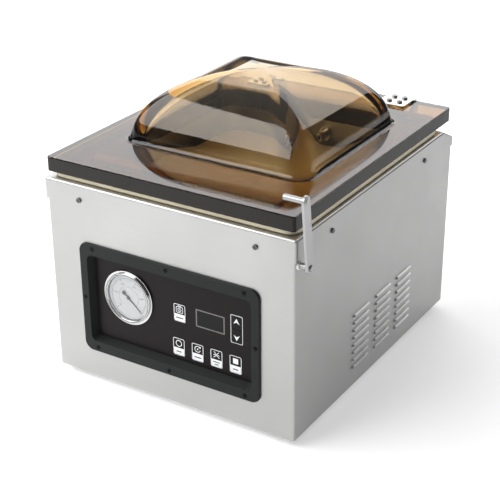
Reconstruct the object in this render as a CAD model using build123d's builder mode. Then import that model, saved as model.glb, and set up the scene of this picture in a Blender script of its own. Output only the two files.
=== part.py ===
from build123d import *
import math
import os

os.makedirs("parts", exist_ok=True)

# Table-top chamber vacuum packing machine, in millimetres.
# x runs to the right, y to the back and z up from the table that the feet stand on.

# ---------------------------------------------------------------- driving dimensions
CASE_W, CASE_D = 340.0, 404.0          # casing, outside the bent sheet
CASE_X = -6.8                          # the casing's centre line: the hook's side is the wider one
SHEET = 1.5                            # stainless sheet
BEND = 3.0                             # outer radius of a bend
FOOT_H = 9.0
DECK_Z = 264.0                         # top of the deck
PANEL_TOP, REAR_TOP = 260.5, 243.8     # top edges of the front and side sheets, and of the rear panel

COVER_W, COVER_D = 344.0, 407.6        # top cover, over its flanges
FLANGE_Z = 237.4                       # lower edge of the cover's flange
SLOPE_Y, SLOPE_END_Z = 172.5, 248.4    # the deck falls from SLOPE_Y to the rear flange

TUB_W, TUB_D, TUB_Y = 280.0, 324.0, -14.0
TUB_FLOOR_Z, TUB_R = 209.0, 26.0

LID_W, LID_T, LID_Z = 336.8, 18.4, 271.3
LID_FRONT, LID_BACK = -201.6, 197.4
DOME_X, DOME_Y, DOME_A, DOME_B, DOME_H = 5.5, 1.5, 125.0, 115.0, 81.0
DOME_WALL = 5.0
DOME_FLARE = 7.0                       # concave radius where the dome leaves the plate
DOME_POWER = 2.05                      # exponent of the dome's upright profile

HINGE_X, HINGE_Y, HINGE_Z = 100.0, 204.5, 271.0
HOOK_Y, HOOK_Z = -195.5, 232.0         # the hook's pivot
HOOK_REACH, HOOK_ARM_Y = 81.5, -205.4
SEAL_Y, SEAL_L, SEAL_BAR_W = -158.0, 256.0, 16.0
SEAL_REST_Z, SEAL_TOP_Z = 230.0, 254.0
PLUNGER_X = 90.0

PANEL_X, PANEL_Z = 0.5, 118.3          # middle of the control panel
PANEL_W, PANEL_H = 252.0, 146.0
TRAY_Y = -194.0                        # front of the tray that the overlay lies on
OVERLAY_T = 0.6
GAUGE_X, GAUGE_Z, GAUGE_R = -61.5, 128.7, 35.0

FRONT_Y, REAR_Y = -CASE_D / 2, CASE_D / 2
LID_TOP = LID_Z + LID_T
SLOPE_ANGLE = math.atan2(DECK_Z - SLOPE_END_Z, COVER_D / 2 - SLOPE_Y)


# ---------------------------------------------------------------- sketch planes
def level(z, y=0.0):
    """Level plane at height z: local x right, local y back."""
    return Plane(origin=(CASE_X, y, z))


def facing(y, x=0.0, z=0.0):
    """Upright plane at depth y that faces the front: local x right, local y up."""
    return Plane(origin=(CASE_X + x, y, z), x_dir=(1, 0, 0), z_dir=(0, -1, 0))


def flank(side, out, y=0.0, z=0.0):
    """Upright plane that faces away from the centre line: local x is side times y, local y up."""
    return Plane(origin=(CASE_X + side * out, y, z), x_dir=(0, side, 0), z_dir=(side, 0, 0))


def backing(y, x=0.0, z=0.0):
    """Upright plane at depth y that faces the rear: local x is left, local y up."""
    return Plane(origin=(CASE_X + x, y, z), x_dir=(-1, 0, 0), z_dir=(0, 1, 0))


def on_slope(x):
    """Plane on the falling rear part of the deck: local x right, local y down the slope."""
    normal = (0, math.sin(SLOPE_ANGLE), math.cos(SLOPE_ANGLE))
    return Plane(origin=(CASE_X + x, SLOPE_Y, DECK_Z), x_dir=(1, 0, 0), z_dir=normal)


def turned(plane, degrees):
    """The same plane with its sketch turned about its own normal."""
    x_dir = plane.x_dir.rotate(Axis((0, 0, 0), tuple(plane.z_dir)), degrees)
    return Plane(origin=plane.origin, x_dir=x_dir, z_dir=plane.z_dir)


def disc(plane, radius):
    """A round face on a plane."""
    with BuildSketch(plane) as outline:
        Circle(radius)
    return outline.sketch


def pan_screw(plane, head_r, head_t, shank_r, shank_l):
    """One cross-headed screw in the current part: its head in front of the plane, its shank behind."""
    extrude(disc(plane, head_r), amount=head_t)
    extrude(disc(plane, shank_r), amount=-shank_l)
    with BuildSketch(plane.offset(head_t)) as cross:
        Rectangle(head_r, head_r / 5)
        Rectangle(head_r / 5, head_r)
    extrude(cross.sketch, amount=-head_t / 2, mode=Mode.SUBTRACT)


# ---------------------------------------------------------------- base and feet
FOOT_PITCH_X, FOOT_PITCH_Y = 280.0, 344.0
FOOT_R, FOOT_FLARE = 12.0, 12.0        # underside radius, and how far the sides lean out, in degrees
PAN_LIP = 20.0

with BuildPart() as base_pan:
    with BuildSketch(level(FOOT_H)):
        RectangleRounded(CASE_W - 2 * SHEET, CASE_D - 2 * SHEET, BEND - SHEET)
    extrude(amount=PAN_LIP)
    with BuildSketch(level(FOOT_H + SHEET)):
        Rectangle(CASE_W - 4 * SHEET, CASE_D - 4 * SHEET)
    extrude(amount=PAN_LIP, mode=Mode.SUBTRACT)
    with BuildSketch(level(FOOT_H)):
        with GridLocations(FOOT_PITCH_X, FOOT_PITCH_Y, 2, 2):
            Circle(2.0)
        with Locations((60, -60)):
            with GridLocations(10, 0, 8, 1):
                SlotOverall(60, 4, rotation=90)
    extrude(amount=SHEET, mode=Mode.SUBTRACT)
base_pan.part.label = "base_pan"
export_step(base_pan.part, "parts/base_pan.step")

with BuildPart() as feet:
    with BuildSketch(level(0)):
        with GridLocations(FOOT_PITCH_X, FOOT_PITCH_Y, 2, 2):
            Circle(FOOT_R)
    extrude(amount=FOOT_H, taper=-FOOT_FLARE)
    with BuildSketch(level(0)):
        with GridLocations(FOOT_PITCH_X, FOOT_PITCH_Y, 2, 2):
            Circle(5.0)
    extrude(amount=5.0, mode=Mode.SUBTRACT)
    with BuildSketch(level(0)):
        with GridLocations(FOOT_PITCH_X, FOOT_PITCH_Y, 2, 2):
            Circle(2.0)
    extrude(amount=FOOT_H, mode=Mode.SUBTRACT)
feet.part.label = "feet"
export_step(feet.part, "parts/feet.step")

with BuildPart() as foot_screws:
    with BuildSketch(level(2.6)):
        with GridLocations(FOOT_PITCH_X, FOOT_PITCH_Y, 2, 2):
            Circle(3.8)
    extrude(amount=2.4)
    with BuildSketch(level(5.0)):
        with GridLocations(FOOT_PITCH_X, FOOT_PITCH_Y, 2, 2):
            Circle(2.0)
    extrude(amount=10.0)
    with BuildSketch(level(FOOT_H + SHEET)):
        with GridLocations(FOOT_PITCH_X, FOOT_PITCH_Y, 2, 2):
            RegularPolygon(4.0, 6)
    extrude(amount=3.2)
foot_screws.part.label = "foot_screws"
export_step(foot_screws.part, "parts/foot_screws.step")

# ---------------------------------------------------------------- casing
COVER_SCREW_X, COVER_SCREW_Z, REAR_SCREW_Z = 121.0, 244.6, 241.4
COVER_SCREW_YS = (-124.0, 116.6)
REAR_SCREW_ZS = (40.0, 120.0, 215.0)
COVER_SCREW, SMALL_SCREW = (3.1, 1.7, 1.95), (2.8, 1.5, 1.55)   # head radius, head height, shank radius
LOUVRE_YS = (-41.0, 16.9, 74.5)
LOUVRE_Z0, LOUVRE_PITCH, LOUVRE_ROWS = 33.0, 10.2, 8
LOUVRE_L, LOUVRE_H, LOUVRE_OUT = 44.0, 7.0, 2.2
louvre_spots = [
    (y, LOUVRE_Z0 + LOUVRE_PITCH * row) for y in LOUVRE_YS for row in range(LOUVRE_ROWS)
]

with BuildPart() as casing_shell:
    with BuildSketch(level(FOOT_H)):
        with Locations((0, BEND)):
            RectangleRounded(CASE_W, CASE_D + 2 * BEND, BEND)
            RectangleRounded(CASE_W - 2 * SHEET, CASE_D + 2 * BEND - 2 * SHEET, BEND - SHEET,
                             mode=Mode.SUBTRACT)
        with Locations((0, REAR_Y + BEND)):
            Rectangle(CASE_W, 2 * (BEND + SHEET) + 0.2, mode=Mode.SUBTRACT)
    extrude(amount=PANEL_TOP - FOOT_H)
    with BuildSketch(flank(1, 0)):
        with BuildLine():
            Polyline((171, PANEL_TOP + 1), (REAR_Y, PANEL_TOP + 1), (REAR_Y, REAR_TOP), (171, PANEL_TOP),
                     close=True)
        make_face()
    extrude(amount=CASE_W, both=True, mode=Mode.SUBTRACT)
    for side in (-1, 1):
        spots = [(side * y, z) for y, z in louvre_spots]
        with BuildSketch(flank(side, CASE_W / 2)):
            with Locations(*spots):
                SlotOverall(LOUVRE_L, LOUVRE_H)
        extrude(amount=LOUVRE_OUT, taper=30)
        with BuildSketch(flank(side, CASE_W / 2)):
            with Locations(*spots):
                SlotOverall(LOUVRE_L - 2.6, LOUVRE_H - 2.6)
        extrude(amount=LOUVRE_OUT - 1.0, taper=30, mode=Mode.SUBTRACT)
        with BuildSketch(flank(side, CASE_W / 2)):
            with Locations(*[(y, z - LOUVRE_H / 2) for y, z in spots]):
                Rectangle(LOUVRE_L + 2, LOUVRE_H - 2)
        extrude(amount=LOUVRE_OUT + 1, mode=Mode.SUBTRACT)
        with BuildSketch(flank(side, CASE_W / 2)):
            with Locations(*[(y, z + 0.9) for y, z in spots]):
                Rectangle(LOUVRE_L - 8, 2.6)
        extrude(amount=-2 * SHEET, mode=Mode.SUBTRACT)
        with BuildSketch(flank(side, CASE_W / 2)):
            with Locations(*[(side * y, COVER_SCREW_Z) for y in COVER_SCREW_YS]):
                Circle(2.0)
        extrude(amount=-2 * SHEET, mode=Mode.SUBTRACT)
    with BuildSketch(facing(FRONT_Y)):
        with Locations((PANEL_X, PANEL_Z)):
            Rectangle(PANEL_W - 13, PANEL_H - 16)
            with Locations((-106, 66.7), (0, 66.7), (106, 66.7), (-106, -66.7), (0, -66.7), (106, -66.7),
                           (-120.5, 0), (120.5, 0)):
                Circle(1.4)
        with Locations((-COVER_SCREW_X, COVER_SCREW_Z), (COVER_SCREW_X, COVER_SCREW_Z)):
            Circle(2.0)
    extrude(amount=-2 * SHEET, mode=Mode.SUBTRACT)
    with BuildSketch(flank(1, CASE_W / 2)):
        with Locations((HOOK_Y, HOOK_Z)):
            Circle(4.4)
    extrude(amount=-2 * SHEET, mode=Mode.SUBTRACT)
casing_shell.part.label = "casing_shell"
export_step(casing_shell.part, "parts/casing_shell.step")

INLET_X, INLET_Z = -118.0, 52.0
SWITCH_X, SWITCH_Z = -74.0, 52.0
FAN_X, FAN_Z, FAN_SIDE = 84.0, 150.0, 80.0
FAN_SCREW = 35.75

with BuildPart() as rear_panel:
    with BuildSketch(level(FOOT_H)):
        with Locations((0, REAR_Y - SHEET / 2)):
            Rectangle(CASE_W - 0.4, SHEET)
        for side in (-1, 1):
            with Locations((side * (CASE_W / 2 - 1.5 * SHEET), REAR_Y - SHEET - 6)):
                Rectangle(SHEET, 12)
    extrude(amount=REAR_TOP - FOOT_H)
    with BuildSketch(facing(REAR_Y)):
        with Locations((0, FOOT_H + PAN_LIP / 2)):
            for side in (-1, 1):
                with Locations((side * (CASE_W / 2 - 1.5 * SHEET), 0)):
                    Rectangle(SHEET + 0.2, PAN_LIP + 1)
    extrude(amount=14, mode=Mode.SUBTRACT)
    with BuildSketch(facing(REAR_Y - SHEET)):
        with Locations((0, FOOT_H + PAN_LIP / 2)):
            Rectangle(CASE_W - 2 * SHEET, PAN_LIP + 1)
    extrude(amount=12, mode=Mode.SUBTRACT)
    with BuildSketch(facing(REAR_Y)):
        with Locations((INLET_X, INLET_Z)):
            RectangleRounded(27.6, 20.4, 2)
            with GridLocations(40, 0, 2, 1):
                Circle(1.7)
        with Locations((SWITCH_X, SWITCH_Z)):
            Rectangle(13.2, 19.4)
        with Locations((FAN_X, FAN_Z)):
            Circle(2.6)
            for ring in range(1, 5):
                with PolarLocations(8 * ring, 6 * ring):
                    Circle(2.6)
            with GridLocations(2 * FAN_SCREW, 2 * FAN_SCREW, 2, 2):
                Circle(2.0)
        with GridLocations(2 * (CASE_W / 2 - 9), 0, 2, 1):
            with Locations(*[(0, z) for z in REAR_SCREW_ZS]):
                Circle(1.6)
        with Locations((-COVER_SCREW_X, REAR_SCREW_Z), (COVER_SCREW_X, REAR_SCREW_Z)):
            Circle(2.0)
    extrude(amount=2 * SHEET, mode=Mode.SUBTRACT)
rear_panel.part.label = "rear_panel"
export_step(rear_panel.part, "parts/rear_panel.step")

with BuildPart() as top_cover:
    with BuildSketch(flank(1, 0)):
        with BuildLine():
            Polyline(
                (-COVER_D / 2, FLANGE_Z), (-COVER_D / 2, DECK_Z), (SLOPE_Y, DECK_Z),
                (COVER_D / 2, SLOPE_END_Z), (COVER_D / 2, FLANGE_Z), close=True,
            )
        make_face()
    extrude(amount=COVER_W / 2, both=True)
    rims = top_cover.faces().filter_by(Axis.Z).sort_by(Axis.Z)[0].edges()
    fold = top_cover.edges().filter_by(Axis.X).filter_by_position(Axis.Y, SLOPE_Y - 1, SLOPE_Y + 1)
    fillet(top_cover.edges() - rims - fold, BEND)
    offset(amount=-SHEET, openings=top_cover.faces().sort_by(Axis.Z)[0])
    with BuildSketch(level(DECK_Z)):
        with Locations((0, TUB_Y)):
            RectangleRounded(TUB_W, TUB_D, TUB_R)
    extrude(amount=-2 * SHEET, mode=Mode.SUBTRACT)
    for plane, height in ((facing(-COVER_D / 2), COVER_SCREW_Z), (facing(COVER_D / 2 + 1), REAR_SCREW_Z)):
        with BuildSketch(plane):
            with Locations((-COVER_SCREW_X, height), (COVER_SCREW_X, height)):
                Circle(2.0)
        extrude(amount=3 * SHEET, both=True, mode=Mode.SUBTRACT)
    with BuildSketch(flank(1, 0)):
        with Locations(*[(y, COVER_SCREW_Z) for y in COVER_SCREW_YS]):
            Circle(2.0)
    extrude(amount=COVER_W, both=True, mode=Mode.SUBTRACT)
    for side in (-1, 1):
        with BuildSketch(on_slope(side * HINGE_X)):
            with Locations((-10, 12), (10, 12)):
                Circle(2.0)
        extrude(amount=3 * SHEET, both=True, mode=Mode.SUBTRACT)
top_cover.part.label = "top_cover"
export_step(top_cover.part, "parts/top_cover.step")

with BuildPart() as casing_screws:
    for x in (-COVER_SCREW_X, COVER_SCREW_X):
        pan_screw(facing(-COVER_D / 2, x, COVER_SCREW_Z), *COVER_SCREW, 9)
        pan_screw(backing(COVER_D / 2, x, REAR_SCREW_Z), *COVER_SCREW, 9)
    for side in (-1, 1):
        for y in COVER_SCREW_YS:
            pan_screw(flank(side, COVER_W / 2, y, COVER_SCREW_Z), *COVER_SCREW, 9)
        for z in REAR_SCREW_ZS:
            pan_screw(backing(REAR_Y, side * (CASE_W / 2 - 9), z), *SMALL_SCREW, 6)
        pan_screw(backing(REAR_Y + 3, INLET_X + 20 * side, INLET_Z), *SMALL_SCREW, 8)
        for z in (FAN_Z - FAN_SCREW, FAN_Z + FAN_SCREW):
            pan_screw(backing(REAR_Y, FAN_X + side * FAN_SCREW, z), *COVER_SCREW, 12)
casing_screws.part.label = "casing_screws"
export_step(casing_screws.part, "parts/casing_screws.step")

# ---------------------------------------------------------------- chamber
NOZZLE_X, NOZZLE_Z = 13.0, 238.0

with BuildPart() as chamber_tub:
    with BuildSketch(level(TUB_FLOOR_Z - SHEET)):
        with Locations((0, TUB_Y)):
            RectangleRounded(TUB_W + 2 * SHEET, TUB_D + 2 * SHEET, TUB_R + SHEET)
    extrude(amount=DECK_Z - SHEET - (TUB_FLOOR_Z - SHEET))
    fillet(chamber_tub.faces().sort_by(Axis.Z)[0].edges(), 8)
    offset(amount=-SHEET, openings=chamber_tub.faces().sort_by(Axis.Z)[-1])
    with BuildSketch(level(TUB_FLOOR_Z + 1)):
        with Locations((-PLUNGER_X, SEAL_Y), (PLUNGER_X, SEAL_Y)):
            Circle(4.5)
    extrude(amount=-4, mode=Mode.SUBTRACT)
    with BuildSketch(facing(TUB_Y + TUB_D / 2, NOZZLE_X, NOZZLE_Z)):
        Circle(6.0)
    extrude(amount=6, both=True, mode=Mode.SUBTRACT)
chamber_tub.part.label = "chamber_tub"
export_step(chamber_tub.part, "parts/chamber_tub.step")

with BuildPart() as filler_plate:
    with BuildSketch(level(TUB_FLOOR_Z)):
        with Locations((0, 1)):
            RectangleRounded(256, 276, 20)
    extrude(amount=16)
    fillet(filler_plate.faces().sort_by(Axis.Z)[-1].edges(), 3)
    with BuildSketch(level(TUB_FLOOR_Z + 16)):
        with Locations((-70, -110), (70, -110)):
            Circle(11)
    extrude(amount=-12, mode=Mode.SUBTRACT)
filler_plate.part.label = "filler_plate"
export_step(filler_plate.part, "parts/filler_plate.step")

with BuildPart() as vacuum_nozzle:
    back_wall = TUB_Y + TUB_D / 2
    with BuildSketch(facing(back_wall, NOZZLE_X, NOZZLE_Z)):
        RegularPolygon(10, 6)
    extrude(amount=5)
    with BuildSketch(facing(back_wall + 12, NOZZLE_X, NOZZLE_Z)):
        Circle(5.9)
    extrude(amount=34)
    with BuildSketch(facing(back_wall + SHEET, NOZZLE_X, NOZZLE_Z)):
        RegularPolygon(10, 6)
    extrude(amount=-4)
    with BuildSketch(facing(back_wall + 12, NOZZLE_X, NOZZLE_Z)):
        Circle(3.5)
    extrude(amount=34, mode=Mode.SUBTRACT)
    fillet(vacuum_nozzle.faces().sort_by(Axis.Y)[0].edges(), 0.8)
vacuum_nozzle.part.label = "vacuum_nozzle"
export_step(vacuum_nozzle.part, "parts/vacuum_nozzle.step")

# ---------------------------------------------------------------- seal bar and its lift
TAPE_T, WIRE_T, PAD_T = 0.3, 0.3, 1.4
BAR_TOP = SEAL_TOP_Z - TAPE_T - WIRE_T - PAD_T

with BuildPart() as seal_bar:
    with BuildSketch(flank(1, 0, SEAL_Y)):
        with Locations((0, (SEAL_REST_Z + BAR_TOP) / 2)):
            Rectangle(SEAL_BAR_W, BAR_TOP - SEAL_REST_Z)
        with Locations((0, SEAL_REST_Z + 6)):
            Rectangle(9, 7, mode=Mode.SUBTRACT)
        with Locations((0, SEAL_REST_Z + 1)):
            Rectangle(5, 4, mode=Mode.SUBTRACT)
    extrude(amount=SEAL_L / 2, both=True)
    for x in (-PLUNGER_X, PLUNGER_X):
        with BuildSketch(level(SEAL_REST_Z)):
            with Locations((x, SEAL_Y)):
                Rectangle(20, SEAL_BAR_W)
        extrude(amount=9.5)
        with BuildSketch(level(SEAL_REST_Z)):
            with Locations((x, SEAL_Y)):
                Circle(4.0)
        extrude(amount=8, mode=Mode.SUBTRACT)
    with BuildSketch(level(BAR_TOP)):
        with Locations((0, SEAL_Y)):
            Rectangle(SEAL_L - 4, 12)
    extrude(amount=PAD_T)
seal_bar.part.label = "seal_bar"
export_step(seal_bar.part, "parts/seal_bar.step")

with BuildPart() as seal_wire:
    with BuildSketch(level(BAR_TOP + PAD_T)):
        with Locations((0, SEAL_Y - 2.5)):
            Rectangle(SEAL_L - 10, 3)
        with Locations((0, SEAL_Y + 2.5)):
            Rectangle(SEAL_L - 10, 1.2)
    extrude(amount=WIRE_T)
seal_wire.part.label = "seal_wire"
export_step(seal_wire.part, "parts/seal_wire.step")

with BuildPart() as seal_tape:
    tape_half = SEAL_BAR_W / 2 + TAPE_T
    with BuildSketch(flank(1, 0, SEAL_Y)):
        with BuildLine():
            Polyline(
                (-tape_half, BAR_TOP - 8), (-tape_half, SEAL_TOP_Z - 2), (-6.4, SEAL_TOP_Z), (6.4, SEAL_TOP_Z),
                (tape_half, SEAL_TOP_Z - 2), (tape_half, BAR_TOP - 8), (SEAL_BAR_W / 2, BAR_TOP - 8),
                (SEAL_BAR_W / 2, BAR_TOP), (6.2, SEAL_TOP_Z - TAPE_T), (-6.2, SEAL_TOP_Z - TAPE_T),
                (-SEAL_BAR_W / 2, BAR_TOP), (-SEAL_BAR_W / 2, BAR_TOP - 8), close=True,
            )
        make_face()
    extrude(amount=SEAL_L / 2 - 3, both=True)
seal_tape.part.label = "seal_tape"
export_step(seal_tape.part, "parts/seal_tape.step")

CYLINDER_TOP, CYLINDER_H, PISTON_R = TUB_FLOOR_Z - SHEET, 30.0, 9.0

with BuildPart() as lift_plungers:
    with BuildSketch(level(CYLINDER_TOP - 18)):
        with Locations((-PLUNGER_X, SEAL_Y), (PLUNGER_X, SEAL_Y)):
            Circle(PISTON_R)
    extrude(amount=4)
    with BuildSketch(level(CYLINDER_TOP - 18)):
        with Locations((-PLUNGER_X, SEAL_Y), (PLUNGER_X, SEAL_Y)):
            Circle(3.96)
    extrude(amount=SEAL_REST_Z + 8 - (CYLINDER_TOP - 18))
lift_plungers.part.label = "lift_plungers"
export_step(lift_plungers.part, "parts/lift_plungers.step")

with BuildPart() as lift_cylinders:
    with BuildSketch(level(CYLINDER_TOP - CYLINDER_H)):
        with Locations((-PLUNGER_X, SEAL_Y), (PLUNGER_X, SEAL_Y)):
            Circle(12)
    extrude(amount=CYLINDER_H)
    with BuildSketch(level(CYLINDER_TOP - CYLINDER_H + 4)):
        with Locations((-PLUNGER_X, SEAL_Y), (PLUNGER_X, SEAL_Y)):
            Circle(PISTON_R + 0.08)
    extrude(amount=CYLINDER_H - 6, mode=Mode.SUBTRACT)
    with BuildSketch(level(CYLINDER_TOP)):
        with Locations((-PLUNGER_X, SEAL_Y), (PLUNGER_X, SEAL_Y)):
            Circle(4.03)
    extrude(amount=-4, mode=Mode.SUBTRACT)
    with BuildSketch(level(CYLINDER_TOP - CYLINDER_H)):
        with Locations((-PLUNGER_X, SEAL_Y), (PLUNGER_X, SEAL_Y)):
            Circle(4)
    extrude(amount=-10)
    with BuildSketch(level(CYLINDER_TOP - CYLINDER_H - 10)):
        with Locations((-PLUNGER_X, SEAL_Y), (PLUNGER_X, SEAL_Y)):
            Circle(2)
    extrude(amount=15, mode=Mode.SUBTRACT)
lift_cylinders.part.label = "lift_cylinders"
export_step(lift_cylinders.part, "parts/lift_cylinders.step")

# ---------------------------------------------------------------- lid
LID_MID_Y = (LID_FRONT + LID_BACK) / 2
LID_D = LID_BACK - LID_FRONT
DOME_STEPS = (0.0, 0.2, 0.4, 0.57, 0.71, 0.82, 0.9, 0.96, 0.99, 0.997)
LEAF_SCREW_XS, LEAF_SCREW_YS = (-7.2, 7.2), (173.5, 189.5)


def dome_sections(half_w, half_d, height, corner_from=0.17, corner_to=0.3):
    """Rounded rectangles that shrink up a superelliptic profile, a little rounder towards the top."""
    sections = []
    for step in DOME_STEPS:
        shrink = (1 - step ** DOME_POWER) ** (1 / DOME_POWER)
        corner = (corner_from + (corner_to - corner_from) * step ** 1.5) * min(half_w, half_d) * shrink
        with BuildSketch(level(LID_TOP + height * step, DOME_Y)) as section:
            with Locations((DOME_X, 0)):
                RectangleRounded(2 * half_w * shrink, 2 * half_d * shrink, corner)
        sections.append(section.sketch.face())
    return sections


def flare_sections():
    """The dome's foot, swept out to the plate on a quarter circle."""
    sections = []
    for turn in (0, 22, 45, 68, 90):
        out = DOME_FLARE * (1 - math.sin(math.radians(turn)))
        up = DOME_FLARE * (1 - math.cos(math.radians(turn)))
        with BuildSketch(level(LID_TOP + up, DOME_Y)) as section:
            with Locations((DOME_X, 0)):
                RectangleRounded(2 * (DOME_A + out), 2 * (DOME_B + out), 0.17 * DOME_B + out)
        sections.append(section.sketch.face())
    return sections


with BuildPart() as lid_plate:
    with BuildSketch(level(LID_Z)):
        with Locations((0, LID_MID_Y)):
            RectangleRounded(LID_W, LID_D, 4)
    extrude(amount=LID_T)
    chamfer(lid_plate.faces().sort_by(Axis.Z)[-1].edges(), 0.8)
    with BuildSketch(level(LID_Z)):
        with Locations((DOME_X, DOME_Y)):
            RectangleRounded(2 * (DOME_A - DOME_WALL), 2 * (DOME_B - DOME_WALL), 0.17 * (DOME_B - DOME_WALL))
    extrude(amount=LID_T, mode=Mode.SUBTRACT)
    with BuildSketch(level(LID_TOP)):
        with Locations(*[
            (side * HINGE_X + x, y) for side in (-1, 1) for x in LEAF_SCREW_XS for y in LEAF_SCREW_YS
        ]):
            Circle(2.0)
    extrude(amount=-12, mode=Mode.SUBTRACT)
lid_plate.part.label = "lid_plate"
export_step(lid_plate.part, "parts/lid_plate.step")

with BuildPart() as lid_dome:
    loft(dome_sections(DOME_A, DOME_B, DOME_H))
    loft(flare_sections(), ruled=True)
    loft(dome_sections(DOME_A - DOME_WALL, DOME_B - DOME_WALL, DOME_H - DOME_WALL), mode=Mode.SUBTRACT)
lid_dome.part.label = "lid_dome"
export_step(lid_dome.part, "parts/lid_dome.step")

GASKET_FRONT, GASKET_BACK, GASKET_W, GASKET_BAND, GASKET_CORNER = -197.0, 168.0, 333.6, 13.0, 16.0
with BuildPart() as lid_gasket:
    with BuildSketch(level(DECK_Z + 0.4)):
        with Locations((0, (GASKET_FRONT + GASKET_BACK) / 2)):
            RectangleRounded(GASKET_W, GASKET_BACK - GASKET_FRONT, GASKET_CORNER)
            RectangleRounded(GASKET_W - 2 * GASKET_BAND, GASKET_BACK - GASKET_FRONT - 2 * GASKET_BAND,
                             GASKET_CORNER - GASKET_BAND, mode=Mode.SUBTRACT)
    extrude(amount=LID_Z - DECK_Z - 0.4)
    fillet(lid_gasket.faces().sort_by(Axis.Z)[0].edges(), 2)
lid_gasket.part.label = "lid_gasket"
export_step(lid_gasket.part, "parts/lid_gasket.step")

COUNTER_H, STRIP_H = 5.8, 3.2
with BuildPart() as counter_bar:
    with BuildSketch(level(LID_Z)):
        with Locations((0, SEAL_Y)):
            RectangleRounded(SEAL_L, SEAL_BAR_W, 2)
    extrude(amount=-COUNTER_H)
    with BuildSketch(level(LID_Z - COUNTER_H)):
        with Locations((0, SEAL_Y)):
            Rectangle(SEAL_L - 12, 10)
    extrude(amount=2, mode=Mode.SUBTRACT)
counter_bar.part.label = "counter_bar"
export_step(counter_bar.part, "parts/counter_bar.step")

with BuildPart() as silicone_strip:
    with BuildSketch(level(LID_Z - COUNTER_H - STRIP_H)):
        with Locations((0, SEAL_Y)):
            RectangleRounded(SEAL_L - 12.4, 9.6, 1)
    extrude(amount=STRIP_H + 2)
silicone_strip.part.label = "silicone_strip"
export_step(silicone_strip.part, "parts/silicone_strip.step")

with BuildPart() as counter_bar_clips:
    for x in (-60, 12, 84):
        with BuildSketch(flank(1, x, SEAL_Y)):
            with BuildLine():
                Polyline(
                    (-8.0, LID_Z), (-8.0, LID_Z - 5.8), (-6.6, LID_Z - 5.8), (-6.6, LID_Z - 6.8),
                    (-9.2, LID_Z - 6.8), (-9.2, LID_Z - 1.2), (-13, LID_Z - 1.2), (-13, LID_Z), close=True,
                )
            make_face()
        extrude(amount=9, both=True)
counter_bar_clips.part.label = "counter_bar_clips"
export_step(counter_bar_clips.part, "parts/counter_bar_clips.step")

# ---------------------------------------------------------------- lid hinges
LEAF_W, LEAF_T, LEAF_Y0 = 38.0, 3.0, 160.0
LEG_Y0, LEG_LOW, TONGUE_W = 198.4, 280.5, 11.0
KNUCKLE_R, PIN_R, EAR_X, EAR_T, EAR_R = 5.5, 3.0, 16.0, 4.0, 7.0

with BuildPart() as hinge_leaves:
    for side in (-1, 1):
        with BuildSketch(flank(1, side * HINGE_X)):
            with Locations((HINGE_Y, HINGE_Z)):
                Circle(KNUCKLE_R)
            with BuildLine():
                Polyline(
                    (LEG_Y0, HINGE_Z + 1), (LEG_Y0, LEG_LOW + 2), (LEG_Y0 + LEAF_T, LEG_LOW + 2),
                    (LEG_Y0 + LEAF_T, HINGE_Z + 1), close=True,
                )
            make_face()
        extrude(amount=TONGUE_W / 2, both=True)
        with BuildSketch(flank(1, side * HINGE_X)):
            with BuildLine():
                Polyline(
                    (LEAF_Y0, LID_TOP), (LEAF_Y0, LID_TOP + LEAF_T), (LEG_Y0 + LEAF_T, LID_TOP + LEAF_T),
                    (LEG_Y0 + LEAF_T, LEG_LOW), (LEG_Y0, LEG_LOW), (LEG_Y0, LID_TOP), close=True,
                )
            make_face()
        extrude(amount=LEAF_W / 2, both=True)
    leaf_bends = hinge_leaves.edges().filter_by(Axis.X)
    leaf_bends = leaf_bends.filter_by_position(Axis.Y, LEG_Y0 + LEAF_T - 0.1, LEG_Y0 + LEAF_T + 0.1)
    fillet(leaf_bends.filter_by_position(Axis.Z, LID_TOP + LEAF_T - 0.1, LID_TOP + LEAF_T + 0.1), 2.5)
    leaf_corners = hinge_leaves.edges().filter_by(Axis.Z)
    fillet(leaf_corners.filter_by_position(Axis.Y, LEAF_Y0 - 0.1, LEAF_Y0 + 0.1), 2.5)
    with BuildSketch(level(LID_TOP + LEAF_T)):
        with Locations(*[
            (side * HINGE_X + x, y) for side in (-1, 1) for x in LEAF_SCREW_XS for y in LEAF_SCREW_YS
        ]):
            Circle(2.05)
    extrude(amount=-LEAF_T, mode=Mode.SUBTRACT)
    with BuildSketch(flank(1, 0)):
        with Locations((HINGE_Y, HINGE_Z)):
            Circle(PIN_R + 0.05)
    extrude(amount=CASE_W / 2, both=True, mode=Mode.SUBTRACT)
hinge_leaves.part.label = "hinge_leaves"
export_step(hinge_leaves.part, "parts/hinge_leaves.step")

with BuildPart() as leaf_screws:
    for side in (-1, 1):
        for x in LEAF_SCREW_XS:
            for y in LEAF_SCREW_YS:
                spot = (CASE_X + side * HINGE_X + x, y, LID_TOP + LEAF_T)
                pan_screw(Plane(origin=spot), 3.6, 2.2, 2.0, 13)
leaf_screws.part.label = "leaf_screws"
export_step(leaf_screws.part, "parts/leaf_screws.step")

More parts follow.
